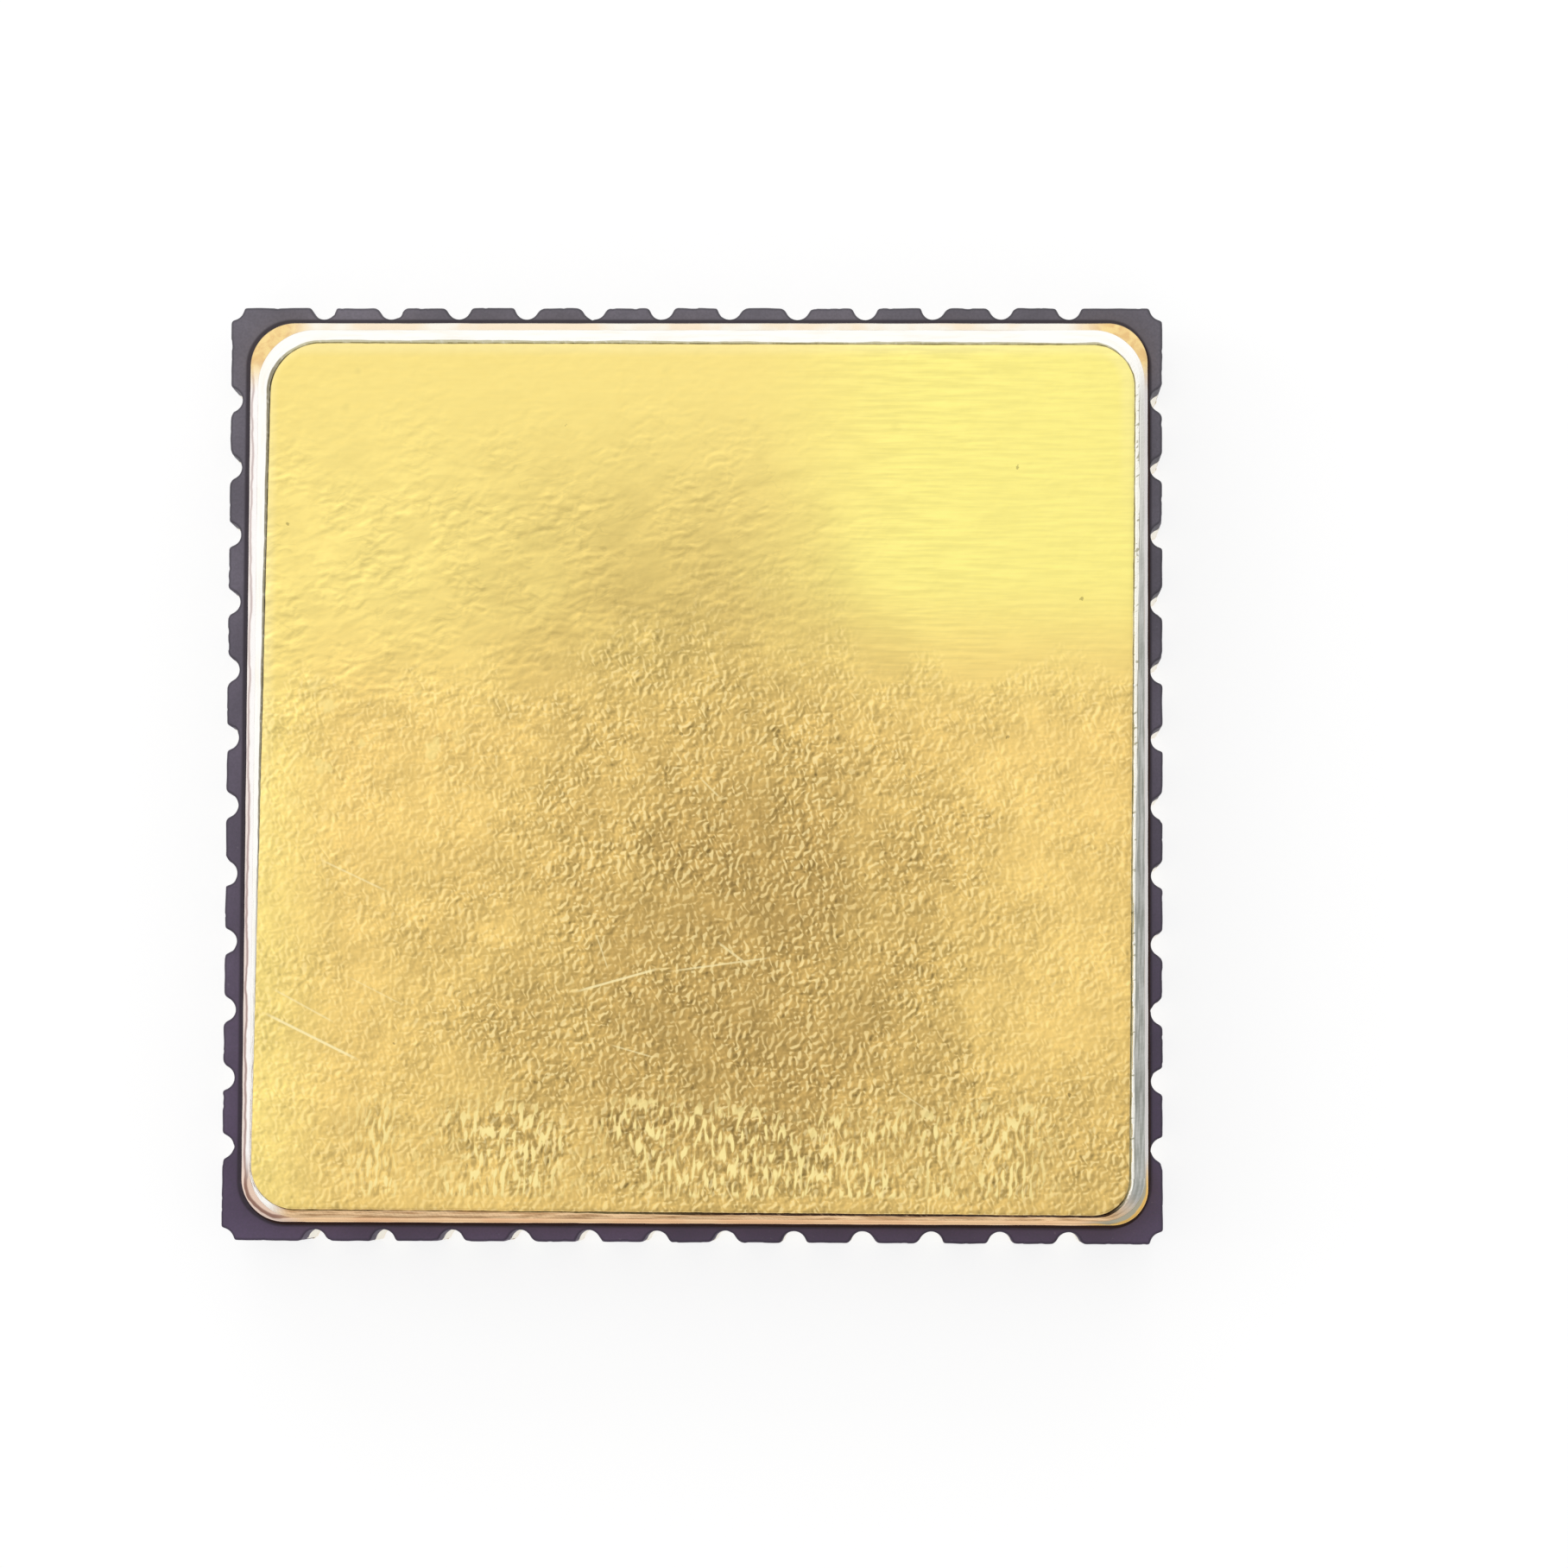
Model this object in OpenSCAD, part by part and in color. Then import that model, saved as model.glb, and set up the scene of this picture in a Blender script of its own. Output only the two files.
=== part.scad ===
// Gyroscope chip in a 48 terminal leadless ceramic package.
// The chip lies flat on its solder pads, with its gold plated lid upwards.
// Origin: centre of the underside of the solder pads. Units: millimetres. Z is up.

/* [Ceramic body] */
// Distance from a corner of the body to the middle of the nearest terminal
corner_margin = 1.1; // [1:0.05:1.4]
// Thickness of the ceramic under the dies
base_t = 0.4; // [0.3:0.05:0.8]
// Thickness of the ceramic from the die floor up to the bond shelf
shelf_t = 0.5; // [0.4:0.05:0.7]
// Thickness of the ceramic wall above the bond shelf
wall_t = 0.6; // [0.5:0.05:1.2]
// Width of the bond shelf round the die cavity
shelf_w = 0.6; // [0.5:0.01:0.65]
// Corner radius of the opening above the shelf and of the die cavity
cavity_r = 0.3; // [0.2:0.05:0.5]
// Radius of the quarter round notch at each corner of the body
corner_notch_r = 0.15; // [0.1:0.01:0.2]

/* [Terminals] */
// Number of terminals along each side
per_side = 12; // [12]
// Distance from one terminal to the next
pitch = 0.8; // [0.72:0.01:0.9]
// Free radius of the half round notch that each terminal runs down
notch_r = 0.14; // [0.12:0.005:0.15]
// Depth of the worn, flared lips of each notch
lip_depth = 0.05; // [0.02:0.005:0.08]
// Largest width of a flared lip beside its notch
lip_w = 0.07; // [0.03:0.005:0.1]
// Thickness of the plating in a notch and of a solder pad
plating_t = 0.02; // [0.01:0.005:0.03]
// Width of a solder pad on the underside
pad_w = 0.45; // [0.3:0.01:0.5]
// Length of a solder pad on the underside
pad_l = 0.7; // [0.5:0.05:0.75]
// Length of the first terminal's solder pad
first_pad_l = 1.1; // [0.9:0.05:1.5]
// Width of the buried trace from a notch to its bond finger
trace_w = 0.16; // [0.1:0.01:0.24]
// Thickness of a trace and of its bond finger
trace_t = 0.02; // [0.01:0.005:0.03]
// Distance from the die cavity's corner to the middle of the nearest bond finger
finger_corner = 0.465; // [0.35:0.005:0.6]
// Width of a bond finger on the shelf
finger_w = 0.3; // [0.2:0.01:0.36]
// Bare ceramic left between a bond finger's tip and the die cavity
finger_margin = 0.08; // [0.04:0.01:0.15]

/* [Seal ring] */
// Bare ceramic left outside the seal ring
ring_margin = 0.225; // [0.19:0.005:0.3]
// Width of the seal ring's wall
ring_wall = 0.7; // [0.5:0.05:0.8]
// Height of the seal ring
ring_h = 0.25; // [0.2:0.05:0.5]
// Outer corner radius of the seal ring
ring_r = 0.48; // [0.3:0.02:0.6]
// Rounding of the seal ring's outer top edge
ring_edge_r = 0.04; // [0.02:0.01:0.06]
// Thickness of the braze under the seal ring
braze_t = 0.03; // [0.02:0.01:0.05]
// Width of the braze fillet that shows outside the ring
braze_fillet = 0.02; // [0.01:0.005:0.03]
// Ledge of bare ceramic between the seal ring and the opening
ring_ledge = 0.1; // [0.05:0.05:0.2]
// How far right of centre the seal ring was brazed
ring_shift = 0.04; // [0:0.005:0.05]

/* [Lid] */
// Ring surface that stays bare outside the lid
lid_inset = 0.07; // [0.05:0.005:0.1]
// Thickness of the lid at its face
lid_t = 0.2; // [0.15:0.01:0.3]
// Thickness of the lid's rim, outside the seam weld
rim_t = 0.05; // [0.03:0.01:0.08]
// Width of the sloping seam weld track
weld_w = 0.13; // [0.08:0.005:0.16]
// Outer corner radius of the lid
lid_r = 0.6; // [0.5:0.02:0.7]
// Rounding of the face's edge
face_edge_r = 0.025; // [0.015:0.005:0.03]
// How far right of the seal ring's centre the lid was welded
lid_shift_right = 0.03; // [0:0.005:0.04]
// How far in front of the seal ring's centre the lid was welded
lid_shift_front = 0.02; // [0:0.005:0.06]

/* [Dies] */
// Bare ceramic between the die floor plating and the cavity wall
floor_margin = 0.12; // [0.05:0.01:0.2]
// Thickness of the plating on the die floor
floor_metal_t = 0.02; // [0.01:0.005:0.03]
// Thickness of the die attach under each die
attach_t = 0.03; // [0.02:0.005:0.05]
// How far the die attach stands out round a die
attach_fillet = 0.04; // [0.02:0.01:0.06]
// Free gap between the sensor die and the readout die
die_gap = 0.4; // [0.3:0.05:0.5]
// Free space between the cavity wall and the side of a die
die_side_gap = 0.375; // [0.3:0.025:0.5]
// Free space between the cavity wall and each end of the readout die
readout_end_gap = 1.375; // [1.1:0.025:1.5]
// Thickness of the readout die
readout_t = 0.35; // [0.25:0.05:0.45]
// Side of a square bond pad
bond_pad_w = 0.1; // [0.08:0.01:0.12]
// Height of a bond pad above its die
bond_pad_t = 0.02; // [0.01:0.005:0.03]
// Distance from a die's edge to the middle of its bond pads
pad_inset = 0.12; // [0.1:0.01:0.16]
// Distance from the readout die's corner to the first pad of a long edge
long_edge_start = 0.41; // [0.3:0.01:0.6]
// Distance from the readout die's corner to the first pad of a short edge
short_edge_start = 0.55; // [0.3:0.01:0.7]

/* [Sensor] */
// Width of the sensor die
sensor_w = 3.4; // [3.1:0.05:3.7]
// Free space between the cavity wall and each end of the sensor die
sensor_end_gap = 1.075; // [0.9:0.025:1.2]
// Thickness of the sensor's base wafer
sensor_base_t = 0.35; // [0.25:0.05:0.45]
// Thickness of the sensor's moving layer
structure_t = 0.06; // [0.04:0.01:0.08]
// Thickness of the sensor's cap wafer
cap_t = 0.35; // [0.25:0.05:0.4]
// Depth of the free space over the moving layer, in the cap
cap_recess = 0.15; // [0.1:0.01:0.2]
// Depth of the free space under the moving layer, in the base
base_recess = 0.03; // [0.02:0.01:0.06]
// Width of the ledge beside the cap that carries the bond pads
ledge_w = 0.5; // [0.3:0.05:0.55]
// Width of the frame that seals base and cap
seal_w = 0.25; // [0.2:0.01:0.28]
// Free gap between the two vibrating masses
mass_gap = 0.9; // [0.85:0.05:1]
// Side of the square release holes in a mass
hole_w = 0.06; // [0.04:0.01:0.08]
// Distance from one release hole to the next
hole_pitch = 0.18; // [0.16:0.01:0.2]
// Width of the suspension beams
beam_w = 0.03; // [0.02:0.005:0.04]
// Length of the suspension beams
beam_l = 0.32; // [0.3:0.01:0.36]
// Side of the square anchor that a folded beam ends on
anchor_w = 0.16; // [0.12:0.01:0.18]
// Free gap between an anchor and the mass beside it
anchor_gap = 0.06; // [0.04:0.01:0.08]
// Number of drive comb fingers on each side of a mass
comb_count = 12; // [6:1:14]
// Width of one comb finger and of the gap beside it
comb_w = 0.02; // [0.015:0.005:0.02]
// Length of one comb finger
comb_l = 0.22; // [0.16:0.01:0.24]
// How far the fixed and the moving comb fingers reach into each other
comb_overlap = 0.12; // [0.08:0.01:0.14]
// Width of the fixed bar that carries the comb fingers
stator_w = 0.12; // [0.08:0.01:0.14]
// Free gap between a fixed bar and the seal frame
stator_gap = 0.11; // [0.06:0.01:0.14]
// Free gap between the outer beams and the seal frame
beam_gap = 0.28; // [0.2:0.01:0.4]

/* [Bond wires] */
// Diameter of a bond wire
wire_d = 0.025; // [0.02:0.001:0.03]
// Half of the arc that a wire's loop spans, in degrees
loop_half = 50; // [35:1:60]
// Radius of the flattened ball or stitch at a wire's end
ball_r = 0.04; // [0.03:0.005:0.045]
// Height of the flattened ball or stitch at a wire's end
ball_h = 0.035; // [0.032:0.001:0.045]

/* [Hidden] */
$fn = 48;
half_side = per_side / 2;
terminal_count = 4 * per_side;
first_slot = half_side;

// Widths from the body inwards
body_w = (per_side - 1) * pitch + 2 * corner_margin;
ring_w = body_w - 2 * ring_margin;
ring_open_w = ring_w - 2 * ring_wall;
opening_w = ring_open_w - 2 * ring_ledge;
cavity_w = opening_w - 2 * shelf_w;
finger_pitch = (cavity_w - 2 * finger_corner) / (per_side - 1);
lid_w = ring_w - 2 * lid_inset;

// Depths measured inwards from the edge of a side
wall_depth = (body_w - opening_w) / 2;
shelf_depth = wall_depth + shelf_w;
finger_start = wall_depth - finger_margin;
finger_end = shelf_depth - finger_margin;
bond_depth = (wall_depth + finger_end) / 2;
stub_end = notch_r + plating_t + trace_w / 2;

// Heights from the underside of the pads upwards
floor_z = plating_t + base_t;
shelf_z = floor_z + shelf_t;
wall_z = shelf_z + trace_t;
body_top = shelf_z + wall_t;
ring_z = body_top + braze_t;
lid_z = ring_z + ring_h;
attach_z = floor_z + floor_metal_t;
die_z = attach_z + attach_t;
structure_z = die_z + sensor_base_t;
cap_z = structure_z + structure_t;
readout_top = die_z + readout_t + bond_pad_t;
sensor_pad_top = structure_z + bond_pad_t;

// Dies, side by side in the cavity, and their rows of pads
sensor_l = cavity_w - 2 * sensor_end_gap;
readout_l = cavity_w - 2 * readout_end_gap;
readout_w = cavity_w - 2 * die_side_gap - sensor_w - die_gap;
long_edge_pitch = (readout_l - 2 * long_edge_start) / (per_side - 1);
short_edge_pitch = (readout_w - 2 * short_edge_start) / (half_side - 1);
sensor_x = -(readout_w + die_gap) / 2;
readout_x = (sensor_w + die_gap) / 2;
ledge_pad_x = sensor_x + sensor_w / 2 - pad_inset;

// Layout of the sensor's moving layer, about the middle of its cap
cap_w = sensor_w - ledge_w;
cap_x = sensor_x - ledge_w / 2;
inner_w = cap_w - 2 * seal_w;
inner_l = sensor_l - 2 * seal_w;
comb_reach = 2 * comb_l - comb_overlap;
mass_w = inner_w - 2 * (comb_reach + stator_w + stator_gap);
mass_l = (inner_l - mass_gap) / 2 - beam_l - beam_gap;
mass_y = (mass_l + mass_gap) / 2;
comb_pitch = 4 * comb_w;
comb_span = (comb_count - 1) * comb_pitch + 3 * comb_w;
stator_x = mass_w / 2 + comb_reach + stator_w / 2;
fold_out = mass_w / 2 - beam_w / 2;
fold_in = fold_out - anchor_w - 2 * beam_w;
joint = 0.01;

fixed_nodes = [
    "ceramic_body", "floor_plating", "seal_ring_braze", "seal_ring", "lid",
    "sensor_die_attach", "readout_die_attach", "sensor_base", "sensor_structure",
    "sensor_cap", "readout_die", "bond_wires"
];

function terminal_name(i) = str("terminal_", i < 10 ? "0" : "", i);

// Slots run anticlockwise from the left end of the front side
function slot_of(i) = (i - 1 + first_slot) % terminal_count;
function side_turn(slot) = 90 * floor(slot / per_side);
function along(slot, step) = (slot % per_side - (per_side - 1) / 2) * step;
function turned(p, a) = [p.x * cos(a) - p.y * sin(a), p.x * sin(a) + p.y * cos(a)];

// Lips wear unevenly: a whole number hash gives each one its own width
function lip_size(n) = lip_w * (0.35 + 0.65 * ((n * 37 + 11) % 17) / 16);

// Outline of one trace with its finger, seen from the edge of its side
function trace_points(slot) =
    let (a = along(slot, pitch), b = along(slot, finger_pitch), h = trace_w / 2, f = finger_w / 2)
    [
        [a + h, 0], [a + h, stub_end], [b + h, finger_start], [b + f, finger_start],
        [b + f, finger_end], [b - f, finger_end], [b - f, finger_start], [b - h, finger_start],
        [a - h, stub_end], [a - h, 0]
    ];

// Where a wire lands on a bond finger
function finger_point(slot) =
    let (p = turned([along(slot, finger_pitch), bond_depth - body_w / 2], side_turn(slot)))
    [p.x, p.y, wall_z];

module rounded_square(w, r) {
    square([w, w - 2 * r], center = true);
    square([w - 2 * r, w], center = true);
    for (x = [-1, 1], y = [-1, 1])
        translate([x * (w / 2 - r), y * (w / 2 - r)]) circle(r);
}

// A square plate with round corners, whose edge follows a profile of [inset, z] points
module edged_plate(w, r, profile) {
    run = w - 2 * r;
    top = profile[len(profile) - 1].y;
    section = concat([[0, 0]], [for (p = profile) [r - p.x, p.y]], [[0, top]]);
    translate([-run / 2, -run / 2]) cube([run, run, top]);
    for (a = [0:90:270]) rotate(a) {
        translate([run / 2, run / 2, 0]) rotate_extrude(angle = 90) polygon(section);
        translate([run / 2, run / 2, 0])
            rotate([90, 0, 0]) linear_extrude(run) polygon(section);
    }
}

// Moves a shape drawn from the edge of the front side, with +Y inwards, to a slot's side
module at_side(slot) {
    rotate(side_turn(slot)) translate([0, -body_w / 2]) children();
}

module notch_disc(slot, r) {
    translate([along(slot, pitch), 0]) circle(r);
}

// The two flared lips of one notch
module lips(slot) {
    inner = notch_r * 0.8;
    translate([along(slot, pitch), 0]) polygon([
        [-notch_r - lip_size(2 * slot), -joint], [notch_r + lip_size(2 * slot + 1), -joint],
        [inner, lip_depth], [-inner, lip_depth]
    ]);
}

// Plan of the body, with notches of radius r
module body_plan(r) {
    difference() {
        square(body_w, center = true);
        for (slot = [0:terminal_count - 1]) at_side(slot) {
            notch_disc(slot, r);
            lips(slot);
        }
        for (x = [-1, 1], y = [-1, 1])
            translate([x * body_w / 2, y * body_w / 2]) circle(corner_notch_r);
    }
}

// Ceramic: base, die cavity, bond shelf with slots for the traces, and wall
module ceramic_body() {
    plated_r = notch_r + plating_t;
    color([0.37, 0.33, 0.39]) {
        translate([0, 0, plating_t]) linear_extrude(base_t) body_plan(plated_r);
        translate([0, 0, floor_z]) linear_extrude(shelf_t) difference() {
            body_plan(plated_r);
            rounded_square(cavity_w, cavity_r);
        }
        translate([0, 0, shelf_z]) linear_extrude(trace_t) difference() {
            body_plan(plated_r);
            rounded_square(opening_w, cavity_r);
            for (slot = [0:terminal_count - 1]) at_side(slot) polygon(trace_points(slot));
        }
        translate([0, 0, wall_z]) linear_extrude(wall_t - trace_t) difference() {
            body_plan(notch_r);
            rounded_square(opening_w, cavity_r);
        }
    }
}

// One terminal: solder pad, plated notch, buried trace and bond finger in one piece
module terminal(i) {
    slot = slot_of(i);
    x = along(slot, pitch);
    length = i == 1 ? first_pad_l : pad_l;
    color([0.86, 0.7, 0.36]) at_side(slot) {
        linear_extrude(plating_t) difference() {
            translate([x - pad_w / 2, 0]) square([pad_w, length]);
            notch_disc(slot, notch_r);
            lips(slot);
        }
        linear_extrude(wall_z) difference() {
            intersection() {
                notch_disc(slot, notch_r + plating_t);
                translate([x - pad_w / 2, 0]) square([pad_w, length]);
            }
            notch_disc(slot, notch_r);
            lips(slot);
        }
        translate([0, 0, shelf_z]) linear_extrude(trace_t) difference() {
            polygon(trace_points(slot));
            notch_disc(slot, notch_r);
        }
    }
}

// Gold on the cavity floor that both dies are bonded to
module floor_plating() {
    w = cavity_w - 2 * floor_margin;
    color([0.86, 0.7, 0.36])
        translate([0, 0, floor_z]) linear_extrude(floor_metal_t) rounded_square(w, cavity_r);
}

// Braze foil with its fillet outside the ring
module seal_ring_braze() {
    color([0.72, 0.7, 0.62]) translate([ring_shift, 0, body_top]) difference() {
        edged_plate(
            ring_w + 2 * braze_fillet, ring_r + braze_fillet,
            [[0, 0], [0, braze_t / 3], [braze_fillet, braze_t]]
        );
        translate([0, 0, -joint])
            linear_extrude(braze_t + 2 * joint) rounded_square(ring_open_w, cavity_r);
    }
}

// Seal ring with a rounded outer top edge
module seal_ring() {
    e = ring_edge_r;
    arc = [for (a = [0:22.5:90]) [e - e * cos(a), ring_h - e + e * sin(a)]];
    color([0.9, 0.76, 0.45]) translate([ring_shift, 0, ring_z]) difference() {
        edged_plate(ring_w, ring_r, concat([[0, 0]], arc));
        translate([0, 0, -joint])
            linear_extrude(ring_h + 2 * joint) rounded_square(ring_open_w, cavity_r);
    }
}

// Lid: flat face, sloping seam weld track with a hollow left by the roller, thin rim
module lid() {
    e = face_edge_r;
    drop = lid_t - e - rim_t;
    track = [for (s = [0:0.25:1]) [weld_w * s, rim_t + drop * (0.6 * s + 0.4 * s * s)]];
    brow = [for (a = [30:30:90]) [weld_w + e - e * cos(a), lid_t - e + e * sin(a)]];
    color([0.96, 0.84, 0.48])
        translate([ring_shift + lid_shift_right, -lid_shift_front, lid_z])
            edged_plate(lid_w, lid_r, concat([[0, 0]], track, brow));
}

module attach_layer(x, w, l) {
    translate([x, 0, attach_z + attach_t / 2])
        cube([w + 2 * attach_fillet, l + 2 * attach_fillet, attach_t], center = true);
}

module sensor_die_attach() {
    color([0.75, 0.75, 0.78]) attach_layer(sensor_x, sensor_w, sensor_l);
}

module readout_die_attach() {
    color([0.75, 0.75, 0.78]) attach_layer(readout_x, readout_w, readout_l);
}

module bond_pad(p) {
    translate([p.x, p.y, p.z - bond_pad_t / 2])
        cube([bond_pad_w, bond_pad_w, bond_pad_t], center = true);
}

// Tops of the bond pads, from one end of a row to the other
ledge_pads = [for (k = [0:per_side - 1]) [ledge_pad_x, along(k, long_edge_pitch), sensor_pad_top]];
inner_pads = [
    for (k = [0:per_side - 1])
        [readout_x - readout_w / 2 + pad_inset, along(k, long_edge_pitch), readout_top]
];
outer_pads = [
    for (k = [0:per_side - 1])
        [readout_x + readout_w / 2 - pad_inset, along(k, long_edge_pitch), readout_top]
];
end_steps = [for (k = [0:half_side - 1]) (k - (half_side - 1) / 2) * short_edge_pitch];
front_pads = [for (s = end_steps) [readout_x + s, -readout_l / 2 + pad_inset, readout_top]];
back_pads = [for (s = end_steps) [readout_x - s, readout_l / 2 - pad_inset, readout_top]];

// The readout die with its bond pads
module readout_die() {
    color([0.42, 0.46, 0.52]) {
        translate([readout_x, 0, die_z + readout_t / 2])
            cube([readout_w, readout_l, readout_t], center = true);
        for (p = concat(inner_pads, outer_pads, front_pads, back_pads)) bond_pad(p);
    }
}

// Plan of the anchors and fixed bars, which stand on the base wafer
module anchored_plan() {
    for (m = [-1, 1], x = [-1, 1]) translate([0, m * mass_y]) {
        translate([x * stator_x, 0]) square([stator_w, comb_span], center = true);
        for (y = [-1, 1]) translate([
            x * (fold_in + beam_w / 2 - anchor_w / 2),
            y * (mass_l / 2 + anchor_gap + anchor_w / 2)
        ]) square(anchor_w, center = true);
    }
}

// Base wafer: hollowed under the moving layer, apart from the anchors' posts
module sensor_base() {
    color([0.6, 0.66, 0.7]) {
        translate([sensor_x, 0, die_z]) linear_extrude(sensor_base_t - base_recess)
            square([sensor_w, sensor_l], center = true);
        translate([0, 0, structure_z - base_recess]) linear_extrude(base_recess) {
            difference() {
                translate([sensor_x, 0]) square([sensor_w, sensor_l], center = true);
                translate([cap_x, 0]) square([inner_w, inner_l], center = true);
            }
            translate([cap_x, 0]) anchored_plan();
        }
        for (p = ledge_pads) bond_pad(p);
    }
}

// One row of comb fingers, rooted at x = 0 and pointing to +X
module comb_row(shift) {
    for (k = [0:comb_count - 1])
        translate([-joint, k * comb_pitch - comb_span / 2 + shift]) square([comb_l + joint, comb_w]);
}

// A vibrating mass with release holes and its moving comb fingers
module mass_plan() {
    columns = floor((mass_w - hole_pitch) / hole_pitch);
    rows = floor((mass_l - hole_pitch) / hole_pitch);
    difference() {
        square([mass_w, mass_l], center = true);
        for (c = [0:columns - 1], r = [0:rows - 1])
            translate([(c - (columns - 1) / 2) * hole_pitch, (r - (rows - 1) / 2) * hole_pitch])
                square(hole_w, center = true);
    }
    for (x = [0, 1]) mirror([x, 0]) translate([mass_w / 2, 0]) comb_row(0);
}

// A folded beam from a mass's corner out, across and back to its anchor
module folded_beam() {
    translate([fold_out - beam_w / 2, mass_l / 2 - joint]) square([beam_w, beam_l + joint]);
    translate([fold_in - beam_w / 2, mass_l / 2 + beam_l - beam_w])
        square([fold_out - fold_in + beam_w, beam_w]);
    translate([fold_in - beam_w / 2, mass_l / 2 + anchor_gap])
        square([beam_w, beam_l - anchor_gap]);
    translate([fold_in + beam_w / 2 - anchor_w, mass_l / 2 + anchor_gap]) square(anchor_w);
}

// The spring loop that couples the two masses
module coupler_plan() {
    loop_w = 6 * beam_w;
    square([beam_w, mass_gap + 2 * joint], center = true);
    difference() {
        square([2 * loop_w, loop_w], center = true);
        square([2 * loop_w - 2 * beam_w, loop_w - 2 * beam_w], center = true);
    }
}

// Moving layer: seal frame, two coupled masses on folded beams, and fixed combs
module sensor_structure() {
    color([0.5, 0.52, 0.56]) translate([cap_x, 0, structure_z]) linear_extrude(structure_t) {
        difference() {
            square([cap_w, sensor_l], center = true);
            square([inner_w, inner_l], center = true);
        }
        coupler_plan();
        for (m = [-1, 1]) translate([0, m * mass_y]) {
            mass_plan();
            for (x = [0, 1], y = [0, 1]) mirror([x, 0]) mirror([0, y]) folded_beam();
            for (x = [0, 1]) mirror([x, 0]) translate([stator_x, 0]) {
                square([stator_w, comb_span], center = true);
                translate([-stator_w / 2, 0]) mirror([1, 0]) comb_row(2 * comb_w);
            }
        }
    }
}

// Cap wafer, hollowed over the moving layer
module sensor_cap() {
    color([0.55, 0.58, 0.62]) translate([cap_x, 0, cap_z]) {
        linear_extrude(cap_recess) difference() {
            square([cap_w, sensor_l], center = true);
            square([inner_w, inner_l], center = true);
        }
        translate([0, 0, cap_recess])
            linear_extrude(cap_t - cap_recess) square([cap_w, sensor_l], center = true);
    }
}

// One looped wire between the tops of two pads, with a flattened ball at each end
module bond_wire(start, end) {
    flat = norm([end.x - start.x, end.y - start.y]);
    rise = end.z - start.z;
    chord = norm([flat, rise]);
    loop_r = chord / (2 * sin(loop_half));
    for (p = [start, end]) translate(p) cylinder(h = ball_h, r = ball_r);
    translate([start.x, start.y, start.z + ball_h / 2])
        rotate(atan2(end.y - start.y, end.x - start.x))
        rotate([0, -atan2(rise, flat), 0])
        translate([chord / 2, 0, -loop_r * cos(loop_half)])
        rotate([90, 0, 0])
        rotate_extrude(angle = 2 * loop_half, start = 90 - loop_half)
        translate([loop_r, 0]) circle(d = wire_d);
}

// Wires from die to die, and from the readout die to the bond fingers on three sides
module bond_wires() {
    color([0.95, 0.78, 0.35]) {
        for (k = [0:per_side - 1]) {
            bond_wire(ledge_pads[k], inner_pads[k]);
            bond_wire(outer_pads[k], finger_point(per_side + k));
        }
        for (k = [0:half_side - 1]) {
            bond_wire(front_pads[k], finger_point(half_side + k));
            bond_wire(back_pads[k], finger_point(2 * per_side + k));
        }
    }
}

ceramic_body();
floor_plating();
seal_ring_braze();
seal_ring();
lid();
sensor_die_attach();
readout_die_attach();
sensor_base();
sensor_structure();
sensor_cap();
readout_die();
bond_wires();
for (i = [1:terminal_count])
    terminal(i);
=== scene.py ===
import math

import bmesh
import bpy
from mathutils import Matrix, Vector, noise


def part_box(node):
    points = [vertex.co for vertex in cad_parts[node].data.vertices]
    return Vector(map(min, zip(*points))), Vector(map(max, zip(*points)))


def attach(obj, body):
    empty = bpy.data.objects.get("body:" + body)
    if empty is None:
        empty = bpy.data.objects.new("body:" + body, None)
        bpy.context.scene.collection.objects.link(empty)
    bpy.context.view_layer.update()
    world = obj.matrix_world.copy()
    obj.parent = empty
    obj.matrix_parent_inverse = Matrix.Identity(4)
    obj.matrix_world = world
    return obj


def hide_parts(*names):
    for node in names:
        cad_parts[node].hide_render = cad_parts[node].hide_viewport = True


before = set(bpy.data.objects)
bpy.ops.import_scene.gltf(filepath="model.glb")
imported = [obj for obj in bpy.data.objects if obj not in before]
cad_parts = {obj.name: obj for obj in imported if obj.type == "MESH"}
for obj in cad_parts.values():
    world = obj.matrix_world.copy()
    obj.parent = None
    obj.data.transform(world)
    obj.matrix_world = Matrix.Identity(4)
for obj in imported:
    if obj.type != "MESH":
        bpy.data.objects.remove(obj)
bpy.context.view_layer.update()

# Lengths below are in millimetres, and MM turns them into metres
MM = 0.001


def box_mm(node):
    """A node's lowest and highest corners."""
    return tuple(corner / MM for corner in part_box(node))


body_low, body_high = box_mm("ceramic_body")
ring_low, ring_high = box_mm("seal_ring")
lid_low, lid_high = box_mm("lid")
braze_low, braze_high = box_mm("seal_ring_braze")

# The four sides as seen from above, and the width over which one fades into the next
RIGHT, BACK, LEFT, FRONT = (1, 0), (0, 1), (-1, 0), (0, -1)
SIDE_BLEND = 0.6

# Ceramic body: notches with worn lips
HALF = body_high.x
PER_SIDE = 12
PITCH = 0.8
NOTCH_R = 0.14
NOTCH_STEPS = 16
CORNER_NOTCH_R = 0.15
CORNER_NOTCH_STEPS = 9
LIP_W = 0.055
LIP_DEPTH = 0.05
LIP_INNER_X = NOTCH_R * 0.8

# Ceramic body: plating and cavity
PLATING = 0.02
PLATING_FADE = 0.06
TRACE_T = 0.02
SHELF_Z = 0.92
FLOOR_Z = 0.42
OPENING_HALF = 4.475
CAVITY_HALF = 3.875
CAVITY_R = 0.3
CAVITY_STEPS = (60, 10)

# Ceramic body: fineness of its outline, and wear of its edges
OUTLINE_STEP = 0.02
OUTLINE_BLUR = 0.022
RIM_W = 0.045
CHIP_FROM = 0.28
CHIP_GAIN = 2.2

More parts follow.
